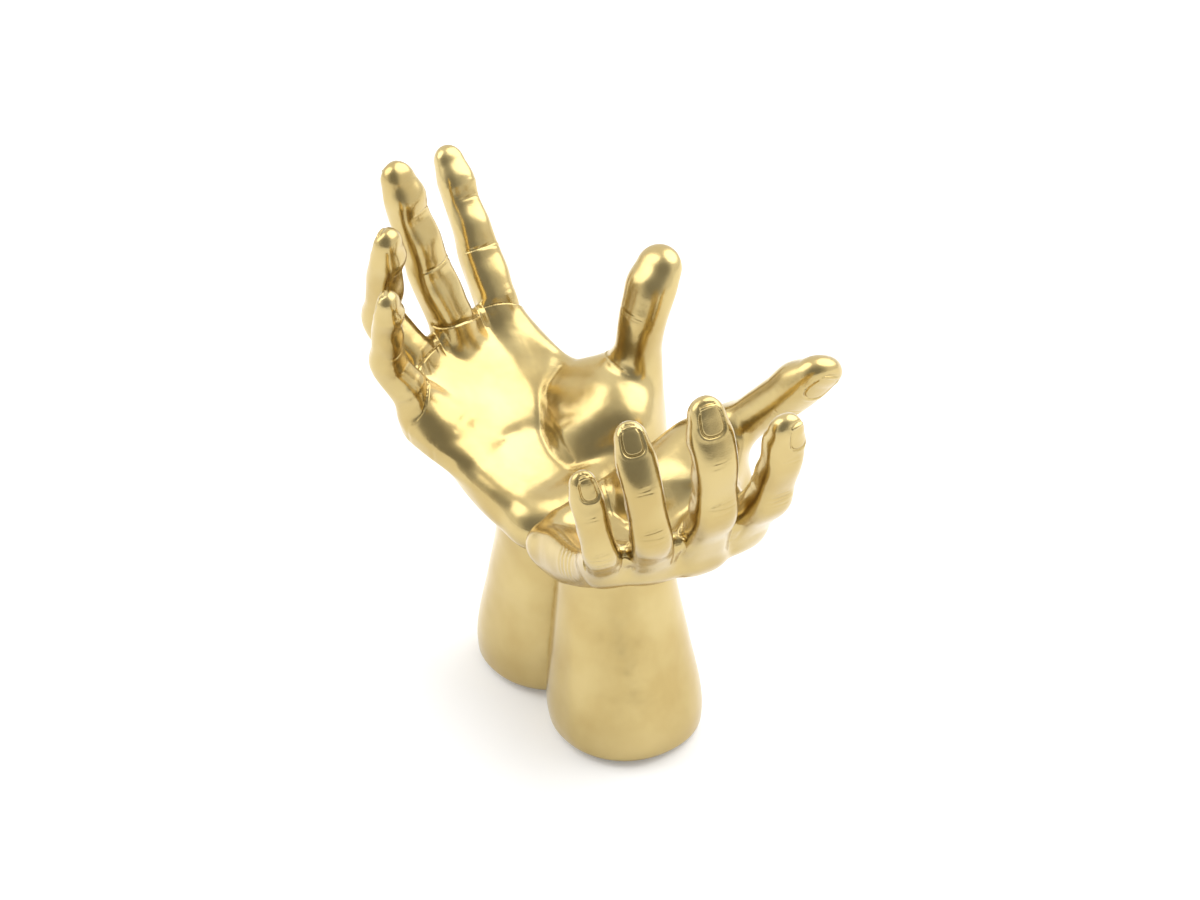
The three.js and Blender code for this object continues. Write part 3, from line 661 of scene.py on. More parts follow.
# %% The common skin of a hand
class Hand:
    """All limbs of one hand, and the distance to their common skin."""

    def __init__(self, pose):
        self.pose = pose
        self.wrist = np.array(pose["wrist"], float)
        self.turn = turn_matrix(pose["turn"])
        self.fingers, self.joints = {}, {}
        for name in FINGERS:
            self.fingers[name], self.joints[name] = make_finger(pose, self.turn, name)
        self.fingers["thumb"], self.joints["thumb"] = make_thumb(pose, self.turn)
        self.rays = [make_palm_ray(pose, self.turn, name) for name in FINGERS]
        self.heel = make_heel(pose, self.turn)

    def to_world(self, point):
        return self.wrist + self.turn @ np.asarray(point, float)

    def oval(self, p, centre, radii):
        return ellipsoid(p, self.to_world(centre), self.turn.T, radii)

    def cushion(self, p, centre, radii, angle, tilt, power):
        return pillow(p, self.to_world(centre), turned_about(self.turn.T, angle, tilt), radii, power)

    def palm(self, p):
        pose = self.pose
        d = self.heel.distance(p)
        for ray in self.rays:
            d = blend(d, ray.distance(p), FILLETS["rays"])
        for name in ("outer_pad", "heel_pad"):
            d = blend(d, self.oval(p, *pose[name]), FILLETS[name])
        d = carve(d, self.oval(p, *pose["hollow"]), FILLETS["hollow"])
        for name in FINGERS:
            centre = np.array(pose["knuckles"][name]) + KNUCKLE_PAD_SHIFT
            d = blend(d, self.oval(p, centre, KNUCKLE_PAD_RADII), FILLETS["knuckle_pads"])
        for centre, radii, angle, fillet in pose["pads"]:
            d = blend(d, self.cushion(p, centre, radii, angle, 0, PAD_POWER), fillet)
        knots = [(self.to_world(point), radius) for point, radius in pose["heel_rim"]]
        d = blend(d, rope(p, knots), FILLETS["heel_rim"])
        d = blend(d, self.cushion(p, *pose["thenar"]), FILLETS["thenar"])
        return blend(d, self.thumb_and_ball(p), FILLETS["thumb"])

    def thumb_and_ball(self, p):
        limb, (root, knuckle, _, _) = self.fingers["thumb"], self.joints["thumb"]
        along = unit(knuckle - root)
        out = limb.fronts[len(limb.points) // 3]
        out = unit(out - along * (out @ along))
        shift, radii = self.pose["thumb_ball"]
        centre = between(root, knuckle, 0.55) - 4 * along + 2 * out + self.turn @ np.array(shift, float)
        ball = ellipsoid(p, centre, [np.cross(along, out), along, out], radii)
        return blend(limb.distance(p), ball, FILLETS["thumb_ball"])

    def thumb_web(self, p):
        thumb, index = self.joints["thumb"], self.joints["index"]
        root = self.to_world(WEB_ROOT)
        thumb_end = between(thumb[1], thumb[2], 0.08)
        index_end = between(index[0], index[1], 0.26) + 3 * self.turn[:, 0]
        middle = between((thumb_end + index_end) / 2, root, self.pose["web_dip"])
        near_thumb = web(p, (root, thumb_end, middle), THUMB_WEB)
        return np.minimum(near_thumb, web(p, (root, middle, index_end), THUMB_WEB))

    def spread_fingers(self, p):
        d = self.fingers["index"].distance(p)
        for name in FINGERS[1:]:
            d = blend(d, self.fingers[name].distance(p), FILLETS["fingers"])
        lift = FINGER_WEB_LIFT * self.turn[:, 2]
        for a, b in zip(FINGERS, FINGERS[1:]):
            a0, b0 = self.joints[a][0] + lift, self.joints[b][0] + lift
            a1 = between(a0, self.joints[a][1] + lift, FINGER_WEB_REACH)
            b1 = between(b0, self.joints[b][1] + lift, FINGER_WEB_REACH)
            skin = np.minimum(web(p, (a0, a1, b0), FINGER_WEB), web(p, (b0, a1, b1), FINGER_WEB))
            d = blend(d, skin, FILLETS["finger_webs"])
        return d

    def distance(self, p):
        d = blend(self.palm(p), self.thumb_web(p), FILLETS["thumb_web"])
        return blend(d, self.spread_fingers(p), FILLETS["hand"])


hands = {"right": Hand(RIGHT_HAND), "left": Hand(LEFT_HAND)}
for label, hand in hands.items():
    tip = hand.joints["middle"][-1]
    print(label, "middle fingertip is", round(float(tip[2])), "mm above the floor")

# %% [markdown]
# ## Forearms
#
# A forearm of this statue is a tapered column with a slightly squared section. It is written as a
# radius and a centre for each height, and soft ridges that climb from its foot keep it from looking
# turned on a lathe. A ridge is how far it stands out, its width in degrees, and its angles by height.
# The hand grows out of the column's top, and the fold where the heel of the hand leans over the
# forearm is a tilted plane, given by its height and its slope.

# %% The forearm as a column and as a field
ARM_FLOOR = 1.8
ARM_POWER = 2.15
ARM_HEIGHTS = (0, 0.12, 0.5, 0.8, 1)
ARM_LOW_RADII = (31.8, 32.8, 28.9)
RIDGE_START, RIDGE_END = (2, 8), (40, 75)
TOP_OVERLAP, TOP_FILLET = 7, 4


class Forearm:
    def __init__(self, pose):
        self.foot = np.array(pose["arm_foot"], float)
        self.top = np.array(pose["arm_top"], float)
        self.height = pose["wrist"][2] - ARM_FLOOR
        top = pose["arm_top_radius"]
        stations = [t * self.height for t in ARM_HEIGHTS]
        self.radius = make_curve(stations, [*ARM_LOW_RADII, 0.3 * top + 18.3, top])
        self.fold_height, self.fold_slope = pose["fold"]
        self.ridges = pose["arm_ridges"]

    def rise(self, z, degrees):
        """How far the soft ridges stand out at a height and an angle."""
        total = np.zeros(len(z))
        for height, width, line in self.ridges:
            heights, angles = zip(*line)
            away = (degrees - np.interp(z, heights, angles) + 180) % 360 - 180
            total += height * hump(away, width)
        return total * smooth_step(z, *RIDGE_START) * (1 - smooth_step(z, *RIDGE_END))

    def centre(self, z):
        t = np.clip((z - ARM_FLOOR) / self.height, 0, 1)
        return self.foot + (self.top - self.foot) * np.asarray(t)[..., None]

    def reach(self, p):
        away = np.abs(p[:, :2] - self.centre(p[:, 2]))
        return (away**ARM_POWER).sum(1) ** (1 / ARM_POWER)

    def above_fold(self, p, lift=0):
        plane = p[:, 2] + self.fold_slope * p[:, 0] - self.fold_height - lift
        return plane / math.hypot(1, self.fold_slope)

    def distance(self, p):
        column = self.reach(p) - self.radius(p[:, 2] - ARM_FLOOR)
        return carve(column, -self.above_fold(p, TOP_OVERLAP), TOP_FILLET)


forearms = {label: Forearm(hand.pose) for label, hand in hands.items()}
for label, arm in forearms.items():
    print(label, "forearm is", round(2 * float(arm.radius(10)), 1), "mm wide near its foot")

# %% [markdown]
# ## From a distance to a skin
#
# A mesh is drawn where the distance is zero. Marching through the whole block would be slow, so
# the block is split into cells of 8, 4 and then 2 steps, and only cells near the skin are kept.
# One vertex is then placed in each small cube that the skin passes through, which gives an even
# net of four-sided faces, and each vertex is moved the last bit onto the skin.

# %% Distances on a grid, near the skin only
CELL_SIZES = (8, 4, 2)
NEAR_SKIN = 1.2


def cell_grid(size):
    axes = [np.arange(size)] * 3
    return np.stack(np.meshgrid(*axes, indexing="ij"), -1).reshape(-1, 3)


def sample_near_skin(distance, low, counts, step):
    """Distances on a grid, exact near the skin and only plus or minus elsewhere."""
    values = np.full(tuple(counts + 1), FAR, np.float32)
    blocks = [np.arange(n // CELL_SIZES[0]) for n in counts]
    cells = np.stack(np.meshgrid(*blocks, indexing="ij"), -1).reshape(-1, 3)
    for size in CELL_SIZES:
        d = distance(low + (cells + 0.5) * size * step)
        near = np.abs(d) < NEAR_SKIN * size * step
        far = ~near
        inside = (cells[far] * size)[:, None] + cell_grid(size)[None]
        values[tuple(inside.reshape(-1, 3).T)] = np.repeat(np.sign(d[far]) * FAR, size**3)
        cells = cells[near]
        if size > CELL_SIZES[-1]:
            cells = (cells[:, None] * 2 + cell_grid(2)[None]).reshape(-1, 3)
    nodes = np.unique((cells[:, None] * 2 + cell_grid(3)[None]).reshape(-1, 3), axis=0)
    values[tuple(nodes.T)] = distance(low + nodes * step)
    return values


def ball_distance(p):
    return lengths(p) - 10.0


ball = sample_near_skin(ball_distance, np.full(3, -16.0), np.full(3, 32), 1.0)
print("a 10 mm ball is followed at", int((np.abs(ball) < FAR).sum()), "of", ball.size, "grid points")

# %% The net of faces
def net_over(values, low, step):
    """One vertex in each cube that the skin crosses, and a face round each crossed edge."""
    inside = values < 0
    corners = cell_grid(2)
    shape = np.array(values.shape) - 1
    count = np.zeros(shape, np.int8)
    for c in corners:
        count += inside[tuple(slice(c[k], c[k] + shape[k]) for k in range(3))]
    crossed = (count > 0) & (count < 8)
    cells = np.argwhere(crossed)
    number = np.full(shape, -1)
    number[crossed] = np.arange(len(cells))
    total = np.zeros((len(cells), 3))
    hits = np.zeros(len(cells))
    for c in corners:
        for axis in range(3):
            if c[axis]:
                continue
            end = c + np.eye(3, dtype=int)[axis]
            a = values[tuple((cells + c).T)]
            b = values[tuple((cells + end).T)]
            crosses = (a < 0) != (b < 0)
            t = np.where(crosses, a / np.where(a == b, 1, a - b), 0)
            total[crosses] += (c + t[:, None] * np.eye(3)[axis])[crosses]
            hits += crosses
    points = low + step * (cells + total / hits[:, None])
    faces = []
    for axis in range(3):
        i, j = [k for k in range(3) if k != axis]
        before = inside.take(np.arange(shape[axis]), axis)
        after = inside.take(np.arange(1, shape[axis] + 1), axis)
        edges = np.argwhere(before != after)
        edges = edges[(edges[:, i] > 0) & (edges[:, j] > 0)]
        edges = edges[(edges[:, i] < shape[i]) & (edges[:, j] < shape[j])]
        di, dj = np.eye(3, dtype=int)[i], np.eye(3, dtype=int)[j]
        ring = [edges - di - dj, edges - dj, edges, edges - di]
        quads = np.stack([number[tuple(e.T)] for e in ring], 1)
        outward = inside[tuple(edges.T)] != (axis == 1)
        faces.append(np.where(outward[:, None], quads, quads[:, ::-1]))
    return points, np.concatenate(faces)


ball_points, ball_faces = net_over(ball, np.full(3, -16.0), 1.0)
print("the ball's net has", len(ball_faces), "faces, at", round(lengths(ball_points).mean(), 1), "mm")

# %% [markdown]
# Blender reads and writes the points of a mesh quickest as one long row of numbers, so a few helpers
# turn them into rows of three and back.

# %% Meshes and their points
def mesh_from(name, points, faces):
    mesh = bpy.data.meshes.new(name)
    mesh.from_pydata(np.asarray(points).tolist(), [], np.asarray(faces).tolist())
    mesh.validate()
    mesh.shade_smooth()
    return mesh


def read_rows(rows, field):
    flat = np.empty(3 * len(rows))
    rows.foreach_get(field, flat)
    return flat.reshape(-1, 3)


def points_of(mesh):
    return read_rows(mesh.vertices, "co")


def normals_of(mesh):
    return read_rows(mesh.vertex_normals, "vector")


def set_points(mesh, points):
    mesh.vertices.foreach_set("co", np.asarray(points).ravel())
    mesh.update()


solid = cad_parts["right_hand"].data
print("the packed right hand has", len(points_of(solid)), "points")

# %% [markdown]
# ## The skin of each hand
#
# Both castings are cut at the plane where they meet. The skin of a hand also runs a little way
# down over its forearm and sinks into it very slowly, so that no seam shows at the wrist, just as
# paint closes that joint on the real statue.

# %% Draw the skin of both hands
SKIN_STEP = 1.1
MIDDLE_GAP = 0.3
FOLD_FILLET = 1.5
HAND_LOW = np.array([-154.0, -78.0, 56.0])
HAND_HIGH = np.array([14.0, 92.0, 228.0])
CUFF_START = 1.0
CUFF_DROP = 14.0
CUFF_SINK = 0.2
SETTLING_ROUNDS = 2


def casting_distance(hand, arm, p):
    column = arm.distance(p)
    below = np.clip(-arm.above_fold(p, -CUFF_START), 0, CUFF_DROP)
    skin = blend(hand.distance(p), column + CUFF_SINK * (below / CUFF_DROP) ** 2, FOLD_FILLET)
    cut = np.maximum(p[:, 0] + MIDDLE_GAP / 2, -arm.above_fold(p, -CUFF_DROP))
    return np.maximum(skin, cut)


def draw_skin(label):
    hand, arm = hands[label], forearms[label]
    block = CELL_SIZES[0]
    counts = (np.ceil((HAND_HIGH - HAND_LOW) / SKIN_STEP / block) * block).astype(int)

    def distance(p):
        return casting_distance(hand, arm, p)

    values = sample_near_skin(distance, HAND_LOW, counts, SKIN_STEP)
    points, faces = net_over(values, HAND_LOW, SKIN_STEP)
    mesh = mesh_from(label + "_hand_skin", points, faces)
    for _ in range(SETTLING_ROUNDS):
        points = points_of(mesh)
        away = np.clip(distance(points), -SKIN_STEP, SKIN_STEP)
        set_points(mesh, points - away[:, None] * normals_of(mesh))
    return mesh


skins = {label: draw_skin(label) for label in hands}
for label, mesh in skins.items():
    print(label, "skin has", len(mesh.polygons), "faces")

# %% [markdown]
# ## Nails, creases and lines
#
# Casting keeps every line of the sculptor's tool. Each one is written here in the place where it
# belongs: along the finger and round it for nails and creases, and over the palm for its lines.
# All of them only say how far the skin moves in or out, so they never change the pose. The
# function gives a second number too, which says where the net has to be finer.

# %% Shapes of a groove, a fold and a nail
LIP_PLACE = 2.1


def groove(u, width, lips=0.25):
    """A pressed line: one deep, with a small lip on each side."""
    return -hump(u, width) + lips * hump(np.abs(u) - LIP_PLACE * width, width)


def fold_step(u, width):
    """A fold with a full side (u below 0) hanging over a thin side."""
    full = 0.25 * np.exp(-np.maximum(-u, 0) / (9 * width)) * (u < 0)
    thin = -0.75 * hump(np.maximum(u, 0), 4 * width) * (u >= 0)
    return full + thin - 0.35 * hump(u, 0.5 * width)


def near_line(u, width):
    return np.clip(1.6 - np.abs(u) / (2.2 * width), 0, 1)


NAIL_GROOVE, NAIL_WALL, NAIL_RISE = 0.6, 0.28, 0.16
NAIL_EDGE, NAIL_UNDERCUT = 0.42, 0.4


def nail_relief(along, across, half_length, half_width):
    """A plate in a U-shaped groove, with a free edge that stands up at the tip."""
    widened = half_width * (1 + 0.05 * along / half_length)
    out = (np.abs(across / widened) ** 2.6 + np.abs(along / half_length) ** 3.2) ** (1 / 2.9) - 1
    gap = out * np.minimum(half_width, half_length)
    side = 1 - smooth_step(along, 0.45 * half_length, 0.8 * half_length)
    plate = side * (NAIL_WALL * hump(gap - 1.1, 0.7) - NAIL_GROOVE * hump(gap, 0.42))
    plate += NAIL_RISE * (1 - smooth_step(gap, -0.6, 0))
    edge = along - half_length * (0.93 - 0.1 * (across / half_width) ** 2)
    free = (np.abs(across) < 0.95 * half_width) * hump(np.maximum(np.abs(edge) - 0.25, 0), 0.3)
    under = (np.abs(across) < half_width) * hump(edge - 1, 0.5)
    fine = np.clip(1.5 - np.maximum(gap, 0) / 1.2, 0, 1)
    return plate + NAIL_EDGE * free - NAIL_UNDERCUT * under, fine


middle_of_nail = nail_relief(np.array([0.0]), np.array([0.0]), 6, 4)[0][0]
print("a nail stands", round(float(middle_of_nail), 2), "mm proud")

# %% Where a nail lies on its finger
NAIL_HALF_LENGTHS = {"index": 6.0, "middle": 6.3, "ring": 5.7, "little": 5.3, "thumb": 7.2}
NAIL_BACK, NAIL_WIDTH_SHARE = 0.7, 0.6


def nail_on(hand, name, along, angle):
    limb = hand.fingers[name]
    if name == "thumb":
        tip, width = sum(hand.pose["thumb_bones"][1:]), float(limb.width(limb.arcs[-1] - 4))
    else:
        tip, width = sum(hand.pose["bones"][name]), hand.pose["half_widths"][name][2]
    facing = angle - math.radians(hand.pose["nail_turns"][name] + 180)
    facing = np.abs((facing + math.pi) % (2 * math.pi) - math.pi)
    move, fine = nail_relief(
        along - tip + NAIL_BACK, facing * width, NAIL_HALF_LENGTHS[name], NAIL_WIDTH_SHARE * width
    )
    on_back = 1 - smooth_step(facing, 1.2, 1.5)
    return move * on_back, fine * on_back


print("the longest nail is", 2 * max(NAIL_HALF_LENGTHS.values()), "mm long")

# %% [markdown]
# Fingers carry a deep fold at their root on the palm side, two lines at the middle joint and one at
# the last joint. On the back the skin gathers in short fine wrinkles over the same joints. The pads
# between the folds swell a little. Each line is a place along the finger, how deep it is as a share,
# and how it bows or how far it reaches round.

# %% Depths and places of the lines
ROOT_FOLD_DEPTH, ROOT_FOLD_WIDTH = 0.95, 0.55
JOINT_LINE_DEPTH, JOINT_LINE_WIDTH = 0.26, 0.7
WRINKLE_DEPTH, WRINKLE_WIDTH = 0.18, 0.42
PAD_SWELL = 0.35
THUMB_LINE_SHARE = 0.4
JOINT_LINES = [("middle", -1.4, 0.6, 0.9, 0.5), ("middle", 1.2, 1, -0.9, -0.1), ("last", 0, 0.8, 0.7, 0.3)]
WRINKLES = [
    ("middle", -3.6, 0.6, 0.5),
    ("middle", -1.4, 0.9, 0.9),
    ("middle", 0.9, 1, 0.75),
    ("middle", 3, 0.6, 0.4),
    ("last", -1, 0.6, 0.6),
    ("last", 0.9, 0.5, 0.35),
]
print("lines over a finger's joints:", len(JOINT_LINES), "in front and", len(WRINKLES), "behind")

# %% Press the lines of one finger
def finger_places(limb, start, p):
    arc, x, y, past = limb.place(p)
    h = np.where(y > 0, limb.front(arc), limb.back(arc))
    return arc - start + past, np.arctan2(x / limb.width(arc), y / h)


def finger_relief(hand, name, p):
    """Movement of the skin and fineness of the net at points near one finger."""
    is_thumb = name == "thumb"
    root, middle, last, slope = hand.pose["folds"][name]
    joints = {"middle": middle, "last": last}
    start = hand.pose["thumb_bones"][0] if is_thumb else FINGER_START
    along, angle = finger_places(hand.fingers[name], start, p)
    palm_side = 1 - smooth_step(np.abs(angle), 1.35, 1.9)
    line = along - root + slope * angle - 0.8 * np.cos(2 * angle)
    reach = 1
    if is_thumb:
        reach = hand.pose["thumb_fold"] * (1 - smooth_step(np.abs(angle + 0.3), 0.5, 1))
    move = ROOT_FOLD_DEPTH * reach * palm_side * fold_step(line, ROOT_FOLD_WIDTH)
    fine = palm_side * near_line(line, 0.9)
    for joint, place, depth, bow, facing in JOINT_LINES:
        line = along - joints[joint] - place - bow * np.cos(1.5 * angle)
        short = 1 - smooth_step(np.abs(angle - facing), 0.35, 1.05)
        depth *= JOINT_LINE_DEPTH * (THUMB_LINE_SHARE if is_thumb else 1)
        move += depth * short * groove(line, JOINT_LINE_WIDTH)
        fine = np.maximum(fine, (short > 0) * near_line(line, JOINT_LINE_WIDTH))
    if not is_thumb:
        fleshy = (along > root + 5) & (along < last + 8)
        swell = -np.cos(2 * math.pi * (along - middle) / (last - middle)) * fleshy
        move += PAD_SWELL * palm_side * np.where(along < middle, np.maximum(swell, -0.4), swell)
    from_back = math.pi - np.abs(angle)
    for joint, place, depth, reach in WRINKLES:
        place += joints[joint]
        line = along - place - 0.5 * np.cos(2 * angle + place)
        short = 1 - smooth_step(from_back, 0.5 * reach, reach)
        move += WRINKLE_DEPTH * depth * short * groove(line, WRINKLE_WIDTH, lips=0.4)
        fine = np.maximum(fine, (short > 0) * near_line(line, 0.5))
    nail, nail_fine = nail_on(hand, name, along, angle)
    return move + nail, np.maximum(fine, nail_fine), along


index = hands["right"].fingers["index"]
over_index = finger_relief(hands["right"], "index", index.points + 8 * index.fronts)[0]
print("along the right index finger the lines are up to", round(-over_index.min(), 2), "mm deep")

# %% [markdown]
# The palm has the long line round the ball of the thumb and a second one under the ring and little
# fingers. Each is a depth, a width and the corners of its way over the palm. At the outer edge of the
# hand, and where two fingers part, the skin is gathered in a few short pleats.

# %% Lines of the palm
PALM_LIPS = 0.2
PLEAT_DEPTH, PLEAT_WIDTH, PLEAT_LIPS = 0.15, 0.9, 0.5
PLEAT_EDGE = -24
WEB_PLEAT_DEPTH, WEB_PLEAT_REACH, WEB_PLEAT_PERIOD = 0.55, 7.5, 3.6


def from_polyline(q, corners):
    nearest = np.full(len(q), np.inf)
    for a, b in zip(np.array(corners, float), np.array(corners[1:], float)):
        nearest = np.minimum(nearest, from_line(q, a, b)[0])
    return nearest


def palm_relief(hand, p, normals):
    q = (p - hand.wrist) @ hand.turn
    facing = smooth_step(normals @ hand.turn[:, 2], 0.1, 0.4)
    move, fine = np.zeros(len(p)), np.zeros(len(p))
    for depth, width, corners in hand.pose["palm_lines"]:
        away = from_polyline(q[:, :2], corners)
        move += depth * facing * groove(away, width, PALM_LIPS)
        fine = np.maximum(fine, facing * near_line(away, 0.8))
    outer = 1 - smooth_step(normals @ hand.turn[:, 0], -0.75, -0.35)
    outer *= (q[:, 0] < PLEAT_EDGE) * smooth_step(q[:, 2], -1, 5)
    for place in hand.pose["edge_pleats"]:
        line = q[:, 1] - place - 0.15 * q[:, 2]
        close = outer * (np.abs(line) < 6)
        move += PLEAT_DEPTH * close * groove(line, PLEAT_WIDTH, PLEAT_LIPS)
        fine = np.maximum(fine, close * near_line(line, 0.6))
    for a, b in zip(FINGERS, FINGERS[1:]):
        knuckles = hand.joints[a][0] + hand.joints[b][0]
        crotch = 0.28 * knuckles + 0.22 * (hand.joints[a][1] + hand.joints[b][1])
        local = (p - crotch) @ hand.turn
        near = np.exp(-((lengths(local) / WEB_PLEAT_REACH) ** 4))
        waves = np.abs(np.cos(math.pi * local[:, 0] / WEB_PLEAT_PERIOD)) ** 4
        move -= WEB_PLEAT_DEPTH * near * waves
        fine = np.maximum(fine, 0.7 * near)
    return move, fine


print("lines of the palms:", sum(len(hand.pose["palm_lines"]) for hand in hands.values()))

# %% The relief of a whole hand
def relief(hand, p, normals):
    """Movement and fineness at points of the skin of one hand."""
    move, fine = palm_relief(hand, p, normals)
    for name, limb in hand.fingers.items():
        near = limb.near(p, 4)
        own = np.zeros(len(p))
        own[near] = 1 - smooth_step(limb.near_distance(p[near]), 1, 3.5)
        picked = own > 0
        if not picked.any():
            continue
        there, there_fine, along = finger_relief(hand, name, p[picked])
        weight = own[picked]
        if name != "thumb":
            weight = weight * smooth_step(along, 4, 10)
        move[picked] += weight * there
        fine[picked] = np.maximum(fine[picked], weight * there_fine)
    return move, fine


some = slice(None, None, 50)
some_moves, _ = relief(hands["right"], points_of(skins["right"])[some], normals_of(skins["right"])[some])
print("lines and nails move", round(100 * float((np.abs(some_moves) > 0.02).mean())), "% of the right skin")

# %% [markdown]
# ## Finer net where it is needed
#
# The even net is too coarse for a nail's groove. Only the edges near a line or a nail are split,
# once or twice, and then the lines are pressed in.

# %% Press the lines into both skins
SEAM_START = 0.3
FINE_LEVELS = (0.12, 0.45)
SKIN_ROUNDS, SKIN_SOFTENING = 5, 0.4
THUMB_ROOT_ROUNDS, THUMB_ROOT_SOFTENING, THUMB_ROOT_REACH = 40, 0.5, 17


def split_where(mesh, wanted):
    work = bmesh.new()
    work.from_mesh(mesh)
    work.verts.ensure_lookup_table()
    edges = [e for e in work.edges if wanted[e.verts[0].index] and wanted[e.verts[1].index]]
    bmesh.ops.subdivide_edges(work, edges=edges, cuts=1, use_grid_fill=True)
    bmesh.ops.triangulate(work, faces=[f for f in work.faces if len(f.verts) > 4])
    work.to_mesh(mesh)
    work.free()


def even_out(mesh, rounds, strength):
    """Softens small ripples of the net by moving each point towards its neighbours."""
    edges = np.empty(2 * len(mesh.edges), int)
    mesh.edges.foreach_get("vertices", edges)
    a, b = edges.reshape(-1, 2).T
    count = np.bincount(np.concatenate([a, b]), minlength=len(mesh.vertices))[:, None]
    points = points_of(mesh)
    for _ in range(rounds):
        total = np.zeros_like(points)
        np.add.at(total, a, points[b])
        np.add.at(total, b, points[a])
        points += strength[:, None] * (total / count - points)
    set_points(mesh, points)


def press_lines(label):
    hand, mesh = hands[label], skins[label]
    points = points_of(mesh)
    from_root = lengths(points - hand.joints["thumb"][1])
    ripple = np.exp(-((from_root / THUMB_ROOT_REACH) ** 4))
    off_seam = smooth_step(-points[:, 0], 2 * SEAM_START, 3)
    even_out(mesh, SKIN_ROUNDS, SKIN_SOFTENING * off_seam)
    even_out(mesh, THUMB_ROOT_ROUNDS, THUMB_ROOT_SOFTENING * ripple * off_seam)
    for level in FINE_LEVELS:
        _, fine = relief(hand, points_of(mesh), normals_of(mesh))
        split_where(mesh, fine > level)
    points, normals = points_of(mesh), normals_of(mesh)
    move, _ = relief(hand, points, normals)
    off_seam = smooth_step(-points[:, 0], SEAM_START, 2)
    set_points(mesh, points + (move * off_seam)[:, None] * normals)
    return mesh


for label in hands:
    mesh = press_lines(label)
    print(label, "skin now has", len(mesh.polygons), "faces")

# %% [markdown]
# ## Forearm skins
#
# The forearms are lathed columns cut flat where they meet. Each ring of points is level at the
# foot and tilts little by little until the last ring lies in the fold under the hand, so the mesh
# is made from those rings directly.

# %% Draw both forearms
ARM_SIDES = 160
ARM_RINGS = 70
BOTTOM_ROUND = 3.0
BOTTOM_HEIGHTS = (0.0, 0.1, 0.35, 0.8, 1.3, 1.9, 2.5)
ARM_TOP_IN_HAND = 2.5


def ring_at(arm, z, lost, c, s):
    radius = arm.radius(z - ARM_FLOOR) - lost + arm.rise(z, np.degrees(np.arctan2(s, c)))
    x, y = arm.centre(z).T
    ring = np.stack([x + radius * c, y + radius * s, np.broadcast_to(z, c.shape)], 1)
    ring[:, 0] = np.minimum(ring[:, 0], -MIDDLE_GAP / 2)
    return ring


def forearm_rings(arm):
    angles = np.linspace(0, 2 * math.pi, ARM_SIDES, endpoint=False)
    c, s = np.cos(angles), np.sin(angles)
    c = np.sign(c) * np.abs(c) ** (2 / ARM_POWER)
    s = np.sign(s) * np.abs(s) ** (2 / ARM_POWER)
    rings = []
    for h in BOTTOM_HEIGHTS:
        lost = BOTTOM_ROUND - math.sqrt(BOTTOM_ROUND**2 - (BOTTOM_ROUND - h) ** 2)
        rings.append(ring_at(arm, np.full(ARM_SIDES, ARM_FLOOR + h), lost, c, s))
    low = ARM_FLOOR + BOTTOM_ROUND
    for t in np.linspace(0, 1, ARM_RINGS):
        across = rings[-1][:, 0]
        top = arm.fold_height - arm.fold_slope * across + ARM_TOP_IN_HAND
        rings.append(ring_at(arm, low + (top - low) * t, 0, c, s))
    return rings


def draw_forearm(label):
    rings = forearm_rings(forearms[label])
    start = np.arange(len(rings) - 1)[:, None] * ARM_SIDES
    i = np.arange(ARM_SIDES)[None]
    j = (i + 1) % ARM_SIDES
    quads = np.stack([start + i, start + j, start + ARM_SIDES + j, start + ARM_SIDES + i], -1)
    faces = quads.reshape(-1, 4).tolist()
    last = (len(rings) - 1) * ARM_SIDES
    faces.append(list(range(ARM_SIDES - 1, -1, -1)))
    faces.append([last + k for k in range(ARM_SIDES)])
    mesh = bpy.data.meshes.new(label + "_forearm_skin")
    mesh.from_pydata(np.concatenate(rings).tolist(), [], faces)
    mesh.shade_smooth()
    return mesh


arm_skins = {label: draw_forearm(label) for label in forearms}
for label, mesh in arm_skins.items():
    print(label, "forearm skin has", len(mesh.polygons), "faces")

# %% [markdown]
# ## Satin gold paint
#
# The finish is a metallic lacquer with very fine flakes under a thin clear coat. It mirrors softly
# like a metal, it is a little warmer and darker where it lies thick, and the brush leaves faint
# streaks. An image of real paint would need seams in its map, so noise in the object's own space is
# used: broad clouds for the colour, stretched noise for the streaks, and three small bumps.

# %% Building blocks of a finish
def new_material(name):
    material = bpy.data.materials.new(name)
    material.use_nodes = True
    tree = material.node_tree
    return material, tree, tree.nodes["Principled BSDF"]


def set_sockets(node, values):
    for socket, value in values.items():
        node.inputs[socket].default_value = value


def add_noise(tree, coordinates, scale, detail, stretch=(1, 1, 1)):
    mapping = tree.nodes.new("ShaderNodeMapping")
    set_sockets(mapping, {"Scale": stretch})
    noise = tree.nodes.new("ShaderNodeTexNoise")
    set_sockets(noise, {"Scale": scale, "Detail": detail})
    tree.links.new(coordinates, mapping.inputs["Vector"])
    tree.links.new(mapping.outputs["Vector"], noise.inputs["Vector"])
    return noise.outputs["Fac"]


def add_ramp(tree, value, stops):
    ramp = tree.nodes.new("ShaderNodeValToRGB")
    for i, (position, colour) in enumerate(stops):
        stop = ramp.color_ramp.elements[i] if i < 2 else ramp.color_ramp.elements.new(position)
        stop.position = position
        stop.color = (*colour, 1)
    tree.links.new(value, ramp.inputs["Fac"])
    return ramp.outputs["Color"]


def add_range(tree, value, low, high):
    spread = tree.nodes.new("ShaderNodeMapRange")
    set_sockets(spread, {"To Min": low, "To Max": high})
    tree.links.new(value, spread.inputs["Value"])
    return spread.outputs["Result"]


def add_bump(tree, height, strength, depth, under=None):
    bump = tree.nodes.new("ShaderNodeBump")
    set_sockets(bump, {"Strength": strength, "Distance": depth})
    tree.links.new(height, bump.inputs["Height"])
    if under is not None:
        tree.links.new(under, bump.inputs["Normal"])
    return bump.outputs["Normal"]


